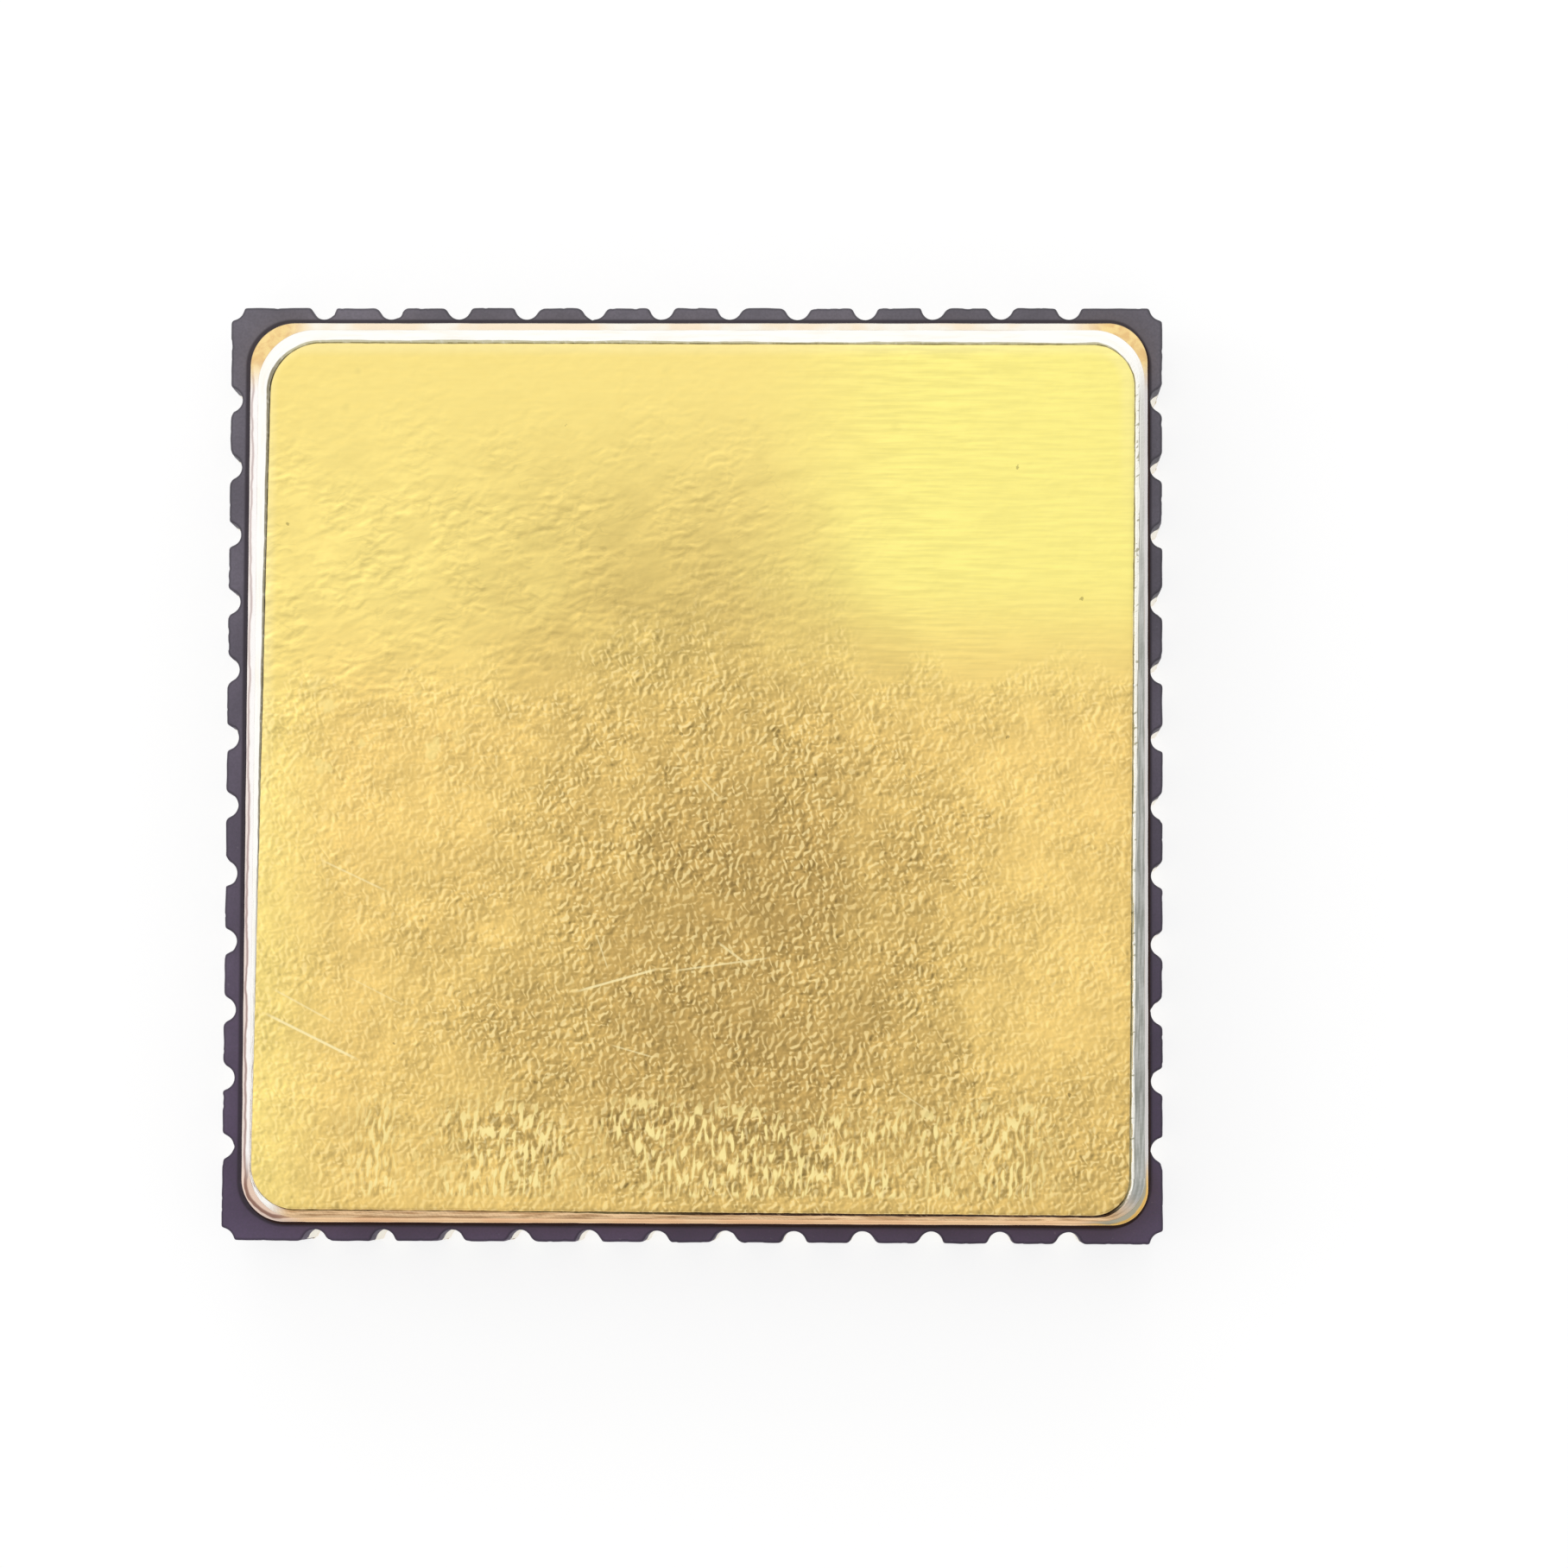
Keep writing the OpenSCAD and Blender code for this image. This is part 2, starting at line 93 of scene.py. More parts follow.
# Seal ring and braze. Radii are those of the right back, left back, left front and right front
# corners. Materials go by RING_R. Steps are points along a side and round a corner.
RING_CENTRE = (0.04, 0.0)
RING_HALF = (ring_high.x - ring_low.x) / 2
RING_RADII = (0.47, 0.52, 0.51, 0.42)
RING_R = 0.48
RING_OPEN_HALF = 4.575
RING_STEPS = (240, 30)
RING_INSET = 0.001
RING_EDGE = 0.04
RING_EDGE_STEPS = 7
RING_TOP_W = 0.12
# How far the braze fillet reaches past the ring, to show its painted shade
BRAZE_SHOW = 0.037

# Lid and its raised face, whose material goes by FACE_R
LID_T = 0.2
LID_RADII = (0.60, 0.66, 0.56, 0.50)
LID_STEPS = (800, 80)
FACE_CENTRE = (0.042, -0.070)
FACE_HALF = 5.053
FACE_RADII = (0.49, 0.58, 0.52, 0.42)
FACE_R = 0.45

# Weld track: length, depth and slant of the roller's ripple, how much a drift lifts the track,
# and the share of its width that never drifts outwards
SCALLOP = 0.055
RIPPLE_H = 0.002
RIPPLE_LAG = 0.06
DRIFT_LIFT = 0.4
RIM_SHARE = 0.05


def new_object(name, bm, materials, smooth_angle):
    """Makes an object from a mesh drawn in millimetres."""
    mesh = bpy.data.meshes.new(name)
    bmesh.ops.recalc_face_normals(bm, faces=bm.faces)
    bmesh.ops.scale(bm, vec=(MM, MM, MM), verts=bm.verts)
    bm.to_mesh(mesh)
    bm.free()
    mesh.shade_smooth()
    mesh.set_sharp_from_angle(angle=math.radians(smooth_angle))
    piece = bpy.data.objects.new(name, mesh)
    bpy.context.scene.collection.objects.link(piece)
    for material in materials:
        mesh.materials.append(material)
    return piece


def stand_for(piece, node):
    """Puts a piece in the place of a CAD node."""
    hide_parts(node)
    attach(piece, "root")


def add_loop(bm, points):
    return [bm.verts.new(p) for p in points]


def flat_loop(bm, points, z):
    return add_loop(bm, [(p.x, p.y, z) for p in points])


def bridge(bm, lower, upper):
    """Faces between two closed loops of equally many points."""
    count = len(lower)
    made = []
    for i in range(count):
        j = (i + 1) % count
        made.append(bm.faces.new((lower[i], lower[j], upper[j], upper[i])))
    return made


def bridge_all(bm, loops):
    for lower, upper in zip(loops, loops[1:]):
        bridge(bm, lower, upper)


def fill_between(bm, *loops):
    """Fills a flat area between an outer loop and any loops inside it."""
    edges = []
    for loop in loops:
        for i, vert in enumerate(loop):
            other = loop[(i + 1) % len(loop)]
            edges.append(bm.edges.get((vert, other)) or bm.edges.new((vert, other)))
    bmesh.ops.triangle_fill(bm, use_beauty=True, use_dissolve=False, edges=edges)


def clamp(value):
    return min(1.0, max(0.0, value))


def on_line(line, t):
    """A value given as its size at 0 and its change for each unit of t."""
    start, change = line
    return start + change * t


def noise_at(p, scale, seed):
    """Steady noise, about -1 to 1, at a place on an outline."""
    return noise.noise(Vector((p.x * scale, p.y * scale, seed)))


def turned(p, quarter):
    """A point turned about the origin by a number of quarter turns."""
    x, y = p
    for _ in range(quarter % 4):
        x, y = -y, x
    return Vector((x, y))


def round_square(half, radii, steps, centre=(0, 0)):
    """Points and outward normals of a square with round corners, up its right side first."""
    side_steps, corner_steps = steps
    points, normals = [], []
    for quarter in range(4):
        before, after = radii[quarter - 1], radii[quarter]
        low, high = -half + before, half - after
        for i in range(side_steps):
            p = (half, low + (high - low) * i / side_steps)
            points.append(turned(p, quarter))
            normals.append(turned((1, 0), quarter))
        for i in range(corner_steps):
            a = math.radians(90 * i / corner_steps)
            out = (math.cos(a), math.sin(a))
            p = (half - after + after * out[0], high + after * out[1])
            points.append(turned(p, quarter))
            normals.append(turned(out, quarter))
    middle = Vector(centre)
    return [p + middle for p in points], normals


def arc_lengths(points):
    """How far along a closed line each of its points lies, and the line's whole length."""
    total, out = 0.0, []
    for i, p in enumerate(points):
        out.append(total)
        total += (points[(i + 1) % len(points)] - p).length
    return out, total


# Ceramic body

def lip_size(n):
    """Width of one worn lip: 17 sizes, shuffled as in the solid but a little narrower."""
    shuffled = (n * 37 + 11) % 17
    return LIP_W * (0.1 + 0.9 * shuffled / 16)


def crossing(p, q, radius):
    """Where the line from p to q first meets a circle about the origin."""
    d = q - p
    a, b, c = d.dot(d), 2 * p.dot(d), p.dot(p) - radius * radius
    t = (-b - math.sqrt(b * b - 4 * a * c)) / (2 * a)
    return p + d * t


def notch_points(slot, radius):
    """Corners and arc of one notch seen from its side's edge: x along the side, y inwards."""
    inner = Vector((LIP_INNER_X, LIP_DEPTH))
    left = Vector((-radius - lip_size(2 * slot), 0))
    right = Vector((radius + lip_size(2 * slot + 1), 0))
    meet_left = crossing(left, Vector((-inner.x, inner.y)), radius)
    meet_right = crossing(right, inner, radius)
    start = math.atan2(meet_left.y, meet_left.x)
    end = math.atan2(meet_right.y, meet_right.x)
    arc = []
    for i in range(NOTCH_STEPS + 1):
        a = start + (end - start) * i / NOTCH_STEPS
        arc.append(Vector((radius * math.cos(a), radius * math.sin(a))))
    return [left] + arc + [right]


def even_steps(points, step):
    """The open line through points, cut into even short steps."""
    out = [points[0]]
    for p, q in zip(points, points[1:]):
        count = max(1, round((q - p).length / step))
        out += [p.lerp(q, (i + 1) / count) for i in range(count)]
    return out


def blurred(points, sigma, step):
    """Rounds the bends of a closed line, as wear does."""
    reach = math.ceil(3 * sigma / step)
    weights = [math.exp(-((i * step) ** 2) / (2 * sigma ** 2)) for i in range(-reach, reach + 1)]
    total_weight = sum(weights)
    count = len(points)
    out = []
    for i in range(count):
        total = Vector((0, 0))
        for offset, weight in enumerate(weights, start=-reach):
            total += points[(i + offset) % count] * weight
        out.append(total / total_weight)
    return out


def body_outline(radius):
    """Outline of the ceramic, anticlockwise, with its worn notches."""
    corners = []
    for turn in range(4):
        side = [Vector((-HALF + CORNER_NOTCH_R, 0))]
        for k in range(PER_SIDE):
            along = (k - (PER_SIDE - 1) / 2) * PITCH
            slot = turn * PER_SIDE + k
            side += [Vector((p.x + along, p.y)) for p in notch_points(slot, radius)]
        side.append(Vector((HALF - CORNER_NOTCH_R, 0)))
        for i in range(1, CORNER_NOTCH_STEPS):
            a = math.radians(180 - 90 * i / CORNER_NOTCH_STEPS)
            side.append(Vector((HALF + CORNER_NOTCH_R * math.cos(a), CORNER_NOTCH_R * math.sin(a))))
        corners += [turned((p.x, p.y - HALF), turn) for p in side]
    line = even_steps(corners + corners[:1], OUTLINE_STEP)[:-1]
    return blurred(line, OUTLINE_BLUR, OUTLINE_STEP)


def outward(points):
    """Unit normals of a closed line, pointing out."""
    out = []
    for i, p in enumerate(points):
        step = points[(i + 1) % len(points)] - points[i - 1]
        out.append(Vector((step.y, -step.x)).normalized())
    return out


def worn(p, seed, size):
    """A steady amount of wear between 0 and size at a place on an edge."""
    rough = noise_at(p, 2.3, seed)
    fine = noise_at(p, 11, seed + 7)
    ragged = noise_at(p, 5.5, seed + 3)
    chip = max(0.0, fine - CHIP_FROM) * CHIP_GAIN
    return size * clamp(0.3 + 0.45 * rough + 0.5 * ragged + chip)


def plating_share(p):
    """How much of the plating's thickness the ceramic gives up: all of it inside a notch."""
    depth = HALF - max(abs(p.x), abs(p.y))
    in_corner = min(abs(p.x), abs(p.y)) > HALF - 2 * CORNER_NOTCH_R
    return 0.0 if in_corner else min(1.0, depth / PLATING_FADE)


def add_body_walls(bm):
    """The outer wall up to its worn top edge. Returns its first and last loop."""
    painted_edge_shade = bm.verts.layers.float.new("rim")
    slim = body_outline(NOTCH_R)
    out = outward(slim)
    wide = [p - n * PLATING * plating_share(p) for p, n in zip(slim, out)]
    bottom, top = body_low.z, body_high.z
    wall_z = SHELF_Z + TRACE_T
    # Outline, height, inset, wear and the wear's seed
    profile = [
        (wide, bottom, 0.010, 0.006, 1),
        (wide, bottom + 0.004, 0.003, 0.004, 1),
        (wide, bottom + 0.014, 0, 0.002, 1),
        (wide, FLOOR_Z - 0.006, 0, 0.002, 2),
        (wide, FLOOR_Z, 0.003, 0.003, 2),
        (wide, FLOOR_Z + 0.006, 0, 0.003, 3),
        (wide, SHELF_Z, 0, 0.002, 4),
        (wide, wall_z, 0, 0.003, 4),
        (slim, wall_z, 0.001, 0.003, 4),
        (slim, wall_z + 0.3, 0, 0.003, 5),
        (slim, top - 0.024, 0, 0.012, 6),
        (slim, top - 0.013, 0.001, 0.015, 6),
        (slim, top - 0.005, 0.004, 0.019, 6),
        (slim, top, 0.010, 0.024, 6),
    ]
    loops = []
    for points, z, inset, wear, seed in profile:
        row = [p - n * (inset + worn(p, seed, wear)) for p, n in zip(points, out)]
        loops.append(flat_loop(bm, row, z))
    # Marks the top edge's outer loops for painted shade
    for vert in loops[-1] + loops[-2]:
        vert[painted_edge_shade] = 1.0
    inner = blurred([p - n * RIM_W for p, n in zip(slim, out)], RIM_W / 2, OUTLINE_STEP)
    loops.append(flat_loop(bm, inner, top))
    bridge_all(bm, loops)
    return loops[0], loops[-1]


def add_cavity(bm):
    """The stepped cavity, down from its opening in the top. Returns the opening's loop."""
    radii = (CAVITY_R,) * 4
    opening, _ = round_square(OPENING_HALF, radii, CAVITY_STEPS)
    cavity, _ = round_square(CAVITY_HALF, radii, CAVITY_STEPS)
    rim = flat_loop(bm, opening, body_high.z)
    shelf_out = flat_loop(bm, opening, SHELF_Z)
    shelf_in = flat_loop(bm, cavity, SHELF_Z)
    floor = flat_loop(bm, cavity, FLOOR_Z)
    bridge_all(bm, [rim, shelf_out, shelf_in, floor])
    bm.faces.new(floor)
    return rim


def make_ceramic(material):
    bm = bmesh.new()
    bottom, top = add_body_walls(bm)
    opening = add_cavity(bm)
    fill_between(bm, top, opening)
    fill_between(bm, bottom)
    piece = new_object("ceramic_shell", bm, [material], smooth_angle=40)
    stand_for(piece, "ceramic_body")


# Seal ring, braze and lid

def swept_ring(name, outline, hole, profile, heights, material):
    """A frame from its outer profile of (inset, height, wander) and its inner wall's heights."""
    (points, normals), (inner, _) = outline, hole
    bm = bmesh.new()
    loops = []
    for level, (inset, z, size) in enumerate(profile):
        row = []
        for p, n in zip(points, normals):
            drift = size * noise_at(p, 1.9, level * 0.3)
            row.append(p - n * max(0.0, inset + drift))
        loops.append(flat_loop(bm, row, z))
    loops += [flat_loop(bm, inner, z) for z in heights]
    bridge_all(bm, loops + loops[:1])
    return new_object(name, bm, [material], smooth_angle=50)


def ring_hole():
    return round_square(RING_OPEN_HALF, (CAVITY_R,) * 4, RING_STEPS, RING_CENTRE)


def make_ring(material):
    """The ring, with its outer top edge rounded off."""
    low, high, e = ring_low.z, ring_high.z, RING_EDGE
    profile = [(0.006, low, 0), (RING_INSET, low + 0.01, 0), (RING_INSET, high - e, 0.001)]
    for i in range(1, RING_EDGE_STEPS + 1):
        a = math.radians(90 * i / RING_EDGE_STEPS)
        profile.append((RING_INSET + e - e * math.cos(a), high - e + e * math.sin(a), 0.004))
    profile.append((e + RING_TOP_W, high, 0))
    outline = round_square(RING_HALF, RING_RADII, RING_STEPS, RING_CENTRE)
    piece = swept_ring("ring_frame", outline, ring_hole(), profile, (high, low), material)
    stand_for(piece, "seal_ring")


def make_braze(material):
    """The braze's hollow fillet, ragged where it meets the ceramic."""
    low, high, show = braze_low.z, braze_high.z, BRAZE_SHOW
    profile = [
        (0.002, low, 0.016), (0.004, low + 0.004, 0.016), (0.3 * show, low + 0.006, 0.010),
        (0.6 * show, low + 0.011, 0.006), (0.85 * show, low + 0.020, 0.002), (show, high, 0),
    ]
    radii = [r + show for r in RING_RADII]
    outline = round_square(RING_HALF + show, radii, RING_STEPS, RING_CENTRE)
    piece = swept_ring("braze_fillet", outline, ring_hole(), profile, (high, low), material)
    stand_for(piece, "seal_ring_braze")


def side_share(p, towards):
    """How far a point round the lid belongs to the side that faces a direction."""
    facing = p.x * towards[0] + p.y * towards[1]
    across = abs(p.x * towards[1]) + abs(p.y * towards[0])
    return clamp(0.5 + (facing - across) / SIDE_BLEND)


def wander(p, level, size):
    """Slow and quick irregularity of the weld, steady from run to run."""
    slow = noise_at(p, 1.7, level * 0.35)
    quick = noise_at(p, 9, level * 0.8 + 5)
    return size * (0.7 * slow + 0.8 * quick)


# Weld track: share of the way from the lid's rim to the face's edge, height, wander and ripple
TRACK_FOOT = (
    (0.03, 0, 0, 0), (0, 0.01, 0, 0), (0, 0.034, 0.003, 0), (0.02, 0.046, 0.004, 0),
    (0.07, 0.053, 0.004, 0.3),
)
TRACK_GROOVE = ((0.89, 0.126, 0.006, 0.8), (0.93, 0.120, 0.006, 0.4), (0.965, 0.128, 0.005, 0.2))
SLOPE_STEPS = 10
SLOPE_W = 0.80
SLOPE_RISE = 0.072
SLOPE_CURVE = 1.15


def weld_track_rows():
    """The track's foot, its slope and the groove beside the face."""
    start, low, _, _ = TRACK_FOOT[-1]
    slope = []
    for i in range(1, SLOPE_STEPS):
        t = i / SLOPE_STEPS
        slope.append((start + SLOPE_W * t, low + SLOPE_RISE * t ** SLOPE_CURVE, 0.006, 0.8))
    return [*TRACK_FOOT, *slope, *TRACK_GROOVE]


# How far each side of the face's outline is off: in its middle, and its change along the side
SKEW_SPAN = 10
SKEW_LEFT = (-0.023, 0.0142)
SKEW_RIGHT = (0.0255, 0.0069)
SKEW_BACK = (0.0152, -0.0022)
SKEW_FRONT = (-0.018, -0.0036)


def welded_off_square(p):
    """Where a point of the face's outline really lies: the track is uneven along each side."""
    right_share = clamp(p.x / SKEW_SPAN + 0.5)
    back_share = clamp(p.y / SKEW_SPAN + 0.5)
    dx = on_line(SKEW_LEFT, p.y) * (1 - right_share) + on_line(SKEW_RIGHT, p.y) * right_share
    dy = on_line(SKEW_FRONT, p.x) * (1 - back_share) + on_line(SKEW_BACK, p.x) * back_share
    return Vector((p.x + dx, p.y + dy))


# The bead on the track's right side: where it is highest across the track, how far it reaches
# on both sides of that, and its height, each with its change from front to back along BEAD_Y
BEAD_Y = (-2.0, 3.5)
BEAD_PEAK = (0.78, -0.16)
BEAD_REACH = (0.12, 0.14)
BEAD_HEIGHT = (0.016, 0.008)


def bead_height(p, share):
    """The raised inner part of the track on the right side, wider towards the back."""
    start, end = BEAD_Y
    back = clamp((p.y - start) / (end - start))
    bump = max(0.0, 1 - abs(share - on_line(BEAD_PEAK, back)) / on_line(BEAD_REACH, back))
    return bump * on_line(BEAD_HEIGHT, back) * side_share(p, RIGHT)


def add_track(bm, rim, rim_out, edge, phases):
    """The track's loops from the rim up, and their shares of the way to the face."""
    loops, shares = [], []
    for level, (share, height, size, ripple) in enumerate(weld_track_rows()):
        row = []
        for p, q, n, phase in zip(rim, edge, rim_out, phases):
            wave = abs(math.sin(math.pi * (phase + level * RIPPLE_LAG)))
            drift = wander(p, level, size)
            if share < RIM_SHARE:
                drift = max(0.0, drift)
            place = p.lerp(q, share) - n * drift
            z = height + bead_height(p, share) - RIPPLE_H * ripple * wave + DRIFT_LIFT * drift
            row.append((place.x, place.y, lid_low.z + max(0.0, z)))
        loops.append(add_loop(bm, row))
        shares.append(share)
    return loops, shares


# The face's rounded edge: distance inside the edge, height and wander
BROW_ROWS = (
    (-0.001, 0.150, 0.004), (0.003, 0.172, 0.004), (0.009, 0.186, 0.003), (0.018, 0.1925, 0.002),
    (0.032, 0.1955, 0.0015), (0.055, 0.1978, 0.001), (0.085, 0.1993, 0), (0.12, LID_T, 0),
)


def add_brow(bm, edge, edge_out):
    """The loops of the face's rounded edge, and their shares, which go on from 1."""
    loops, shares = [], []
    for level, (inset, height, size) in enumerate(BROW_ROWS):
        row = []
        for p, n in zip(edge, edge_out):
            place = p - n * (inset + wander(p, level * 0.2 + 20, size))
            row.append((place.x, place.y, lid_low.z + height))
        loops.append(add_loop(bm, row))
        shares.append(1.0 + 0.02 * level)
    return loops, shares


def skin_lid(bm, loops, shares, track_count, scallops):
    """Faces between the loops, with map coordinates: ripples along, share of the way across."""
    uv = bm.loops.layers.uv.new("weld")
    step = scallops / len(loops[0])
    for level, (lower, upper) in enumerate(zip(loops, loops[1:])):
        low_v, high_v = shares[level], shares[level + 1]
        for i, face in enumerate(bridge(bm, lower, upper)):
            face.material_index = 1 if level < track_count else 0
            u = i * step
            corners = ((u, low_v), (u + step, low_v), (u + step, high_v), (u, high_v))
            for corner, place in zip(face.loops, corners):
                corner[uv].uv = place
    bm.faces.new(loops[-1])
    bm.faces.new(loops[0])


def make_lid(face_material, track_material):
    half = (lid_high.x - lid_low.x) / 2
    centre = ((lid_high.x + lid_low.x) / 2, (lid_high.y + lid_low.y) / 2)
    rim, rim_out = round_square(half, LID_RADII, LID_STEPS, centre)
    square_edge, edge_out = round_square(FACE_HALF, FACE_RADII, LID_STEPS, FACE_CENTRE)
    edge = [welded_off_square(p) for p in square_edge]
    lengths, total = arc_lengths(rim)
    scallops = round(total / SCALLOP)
    phases = [length / total * scallops for length in lengths]
    bm = bmesh.new()
    track, track_shares = add_track(bm, rim, rim_out, edge, phases)
    brow, brow_shares = add_brow(bm, edge, edge_out)
    skin_lid(bm, track + brow, track_shares + brow_shares, len(track), scallops)
    piece = new_object("lid_plate", bm, [face_material, track_material], smooth_angle=60)
    stand_for(piece, "lid")


# Materials

# The colour sockets of a Mix node, and the range that most of a noise lies in
MIX_A, MIX_B, MIX_RESULT = 6, 7, 2
NOISE_RANGE = (0.3, 0.7)


class Nodes:
    """Short names for making and joining the nodes of a tree."""

    def __init__(self, tree):
        self.tree = tree

    def node(self, kind, **settings):
        made = self.tree.nodes.new(kind)
        for key, value in settings.items():
            setattr(made, key, value)
        return made

    def link(self, source, target):
        self.tree.links.new(source, target)

    def put(self, value, target):
        """Links the target to a socket, or sets it to a plain value."""
        if isinstance(value, bpy.types.NodeSocket):
            self.link(value, target)
        elif target.type == "RGBA":
            target.default_value = (*value, 1)
        else:
            target.default_value = value

    def feed(self, node, **sockets):
        """Fills a node's inputs by their names, and returns its first output."""
        for name, value in sockets.items():
            self.put(value, node.inputs[name.replace("_", " ").title()])
        return node.outputs[0]

    def parts(self, vector):
        """A vector's X, Y and Z."""
        made = self.node("ShaderNodeSeparateXYZ")
        self.feed(made, vector=vector)
        return made.outputs

    def math(self, operation, a, b=0.0):
        made = self.node("ShaderNodeMath", operation=operation)
        self.put(a, made.inputs[0])
        self.put(b, made.inputs[1])
        return made.outputs[0]

    def add(self, total, *others):
        for value in others:
            total = self.math("ADD", total, value)
        return total

    def minus(self, a, b):
        return self.math("SUBTRACT", a, b)

    def times(self, product, *others):
        for value in others:
            product = self.math("MULTIPLY", product, value)
        return product

    def larger(self, a, b):
        return self.math("MAXIMUM", a, b)

    def smaller(self, a, b):
        return self.math("MINIMUM", a, b)

    def size(self, a):
        return self.math("ABSOLUTE", a)


class Shader(Nodes):
    """A material with a Principled shader. Its coordinates are in millimetres."""

    def __init__(self, name, colour, metallic, roughness):
        self.material = bpy.data.materials.new(name)
        self.material.use_nodes = True
        super().__init__(self.material.node_tree)
        self.bsdf = self.tree.nodes["Principled BSDF"]
        self.set(base_color=colour, metallic=metallic, roughness=roughness)
        place = self.node("ShaderNodeTexCoord").outputs["Object"]
        self.mm = self.feed(self.node("ShaderNodeMapping"), scale=[1 / MM] * 3, vector=place)
        self.x, self.y, self.z = self.parts(self.mm)

    def mapped(self, scale=(1, 1, 1), turn=0.0, offset=(0, 0, 0), source=None):
        """Coordinates shifted, turned about Z by degrees, then scaled."""
        shift = self.node("ShaderNodeMapping")
        moved = self.feed(shift, location=offset, vector=source or self.mm)
        made = self.node("ShaderNodeMapping", vector_type="TEXTURE")
        angles = (0, 0, math.radians(turn))
        return self.feed(made, rotation=angles, scale=[1 / s for s in scale], vector=moved)

    def noise(self, scale, detail=2.0, vector=None, roughness=0.5, distortion=0.0):
        return self.feed(
            self.node("ShaderNodeTexNoise"), vector=vector or self.mm, scale=scale, detail=detail,
            roughness=roughness, distortion=distortion,
        )

    def spots(self, scale, vector=None):
        """Distance to the nearest of some scattered points, and a random number for each."""
        made = self.node("ShaderNodeTexVoronoi")
        distance = self.feed(made, vector=vector or self.mm, scale=scale)
        return distance, self.parts(made.outputs["Color"])[0]

    def smooth(self, value, low, high, to_low=0.0, to_high=1.0):
        """A value eased from one range to another, and held beyond its ends."""
        made = self.node("ShaderNodeMapRange", interpolation_type="SMOOTHSTEP")
        for v, target in zip((value, low, high, to_low, to_high), made.inputs):
            self.put(v, target)
        return made.outputs[0]

    def spread(self, noise, to_low, to_high):
        """A noise eased from its usual range to another."""
        return self.smooth(noise, *NOISE_RANGE, to_low, to_high)

    def mix(self, factor, a, b):
        made = self.node("ShaderNodeMix", data_type="RGBA")
        self.put(factor, made.inputs[0])
        self.put(a, made.inputs[MIX_A])
        self.put(b, made.inputs[MIX_B])
        return made.outputs[MIX_RESULT]

    def shade(self, colour, factor):
        """The colour times a factor that varies over the surface."""
        made = self.node("ShaderNodeVectorMath", operation="SCALE")
        return self.feed(made, vector=colour, scale=factor)

    def side(self, towards):
        """1 on the side of a square frame that faces a direction, 0 on the other three."""
        facing = self.add(self.times(self.x, towards[0]), self.times(self.y, towards[1]))
        across = self.size(self.y if towards[0] else self.x)
        return self.smooth(self.minus(facing, across), -SIDE_BLEND / 2, SIDE_BLEND / 2)

    def inside(self, centre, half, radius):
        """Distance inwards from the edge of a square with round corners."""
        flat = half - radius
        x = self.minus(self.size(self.minus(self.x, centre[0])), flat)
        y = self.minus(self.size(self.minus(self.y, centre[1])), flat)
        out_x, out_y = self.larger(x, 0.0), self.larger(y, 0.0)
        squares = self.add(self.times(out_x, out_x), self.times(out_y, out_y))
        nearest = self.smaller(self.larger(x, y), 0.0)
        return self.minus(radius, self.add(self.math("SQRT", squares), nearest))

    def relief(self, scale, detail, shift, stretch=(1, 1, 1), turn=0.0, distortion=0.0):
        """Lit and shaded flanks of a noisy surface: its height less that a short way off."""
        here = self.noise(scale, detail, self.mapped(stretch, turn), distortion=distortion)
        off = self.mapped(stretch, turn, offset=(*shift, 0))
        return self.minus(here, self.noise(scale, detail, off, distortion=distortion))

    def bump(self, height, strength, distance):
        made = self.node("ShaderNodeBump")
        return self.feed(made, strength=strength, distance=distance * MM, height=height)

    def set(self, **sockets):
        """Feeds the shader's sockets, and returns the finished material."""
        self.feed(self.bsdf, **sockets)
        return self.material


# In the materials below, x runs to the right, y to the back and z up, in millimetres from the
# middle of the chip's underside. A mask is 1 where its mark is and 0 elsewhere.

def painted_ring_shade(m):
    """Painted shade on the ceramic beside the ring, wider at the back and left."""
    far_sides = m.add(m.side(BACK), m.side(LEFT))
    gap = m.times(m.inside(RING_CENTRE, RING_HALF, RING_R), -1)
    gap = m.minus(gap, m.times(far_sides, 0.026))
    return m.times(m.smooth(gap, 0.072, 0.040), 0.82)


def ceramic_material():
    """Fired ceramic with clouds, grain and pale flecks. Painted light makes it violet and darker in
    front, greyer and lighter at the back, and darker to the right; painted shade darkens it beside
    the ring and along its top edge.
    """
    violet = (0.090, 0.062, 0.114)
    grey = (0.158, 0.145, 0.176)
    pale_fleck = (0.24, 0.21, 0.25)
    # Near-black colour of the painted shade beside the ring
    darkening = (0.018, 0.010, 0.018)
    m = Shader("ceramic_violet", (0.12, 0.10, 0.13), 0.0, 0.62)
    cloud = m.noise(0.8, 4)
    grain = m.noise(34, 3)
    fleck = m.noise(15, 2, roughness=0.7)
    # Painted light: lighter and greyer towards the back, lighter on the left than on the right
    base = m.mix(m.smooth(m.y, -5.5, 5.5), violet, grey)
    base = m.shade(base, m.smooth(m.x, -5.5, 5.5, 1.12, 0.93))
    base = m.shade(base, m.spread(cloud, 0.82, 1.18))
    base = m.shade(base, m.smooth(grain, 0.35, 0.65, 0.90, 1.08))
    base = m.mix(m.smooth(fleck, 0.68, 0.76, 0.0, 0.3), base, pale_fleck)
    # Painted shade beside the ring
    base = m.mix(painted_ring_shade(m), base, darkening)
    # Painted shade on the rounded top edge
    rim = m.node("ShaderNodeAttribute", attribute_name="rim").outputs["Fac"]
    base = m.shade(base, m.smooth(rim, 0.1, 1.0, 1.0, 0.58))
    return m.set(
        base_color=base, roughness=m.spread(grain, 0.55, 0.72),
        normal=m.bump(m.add(grain, m.times(fleck, 0.6)), 0.3, 0.003),
    )


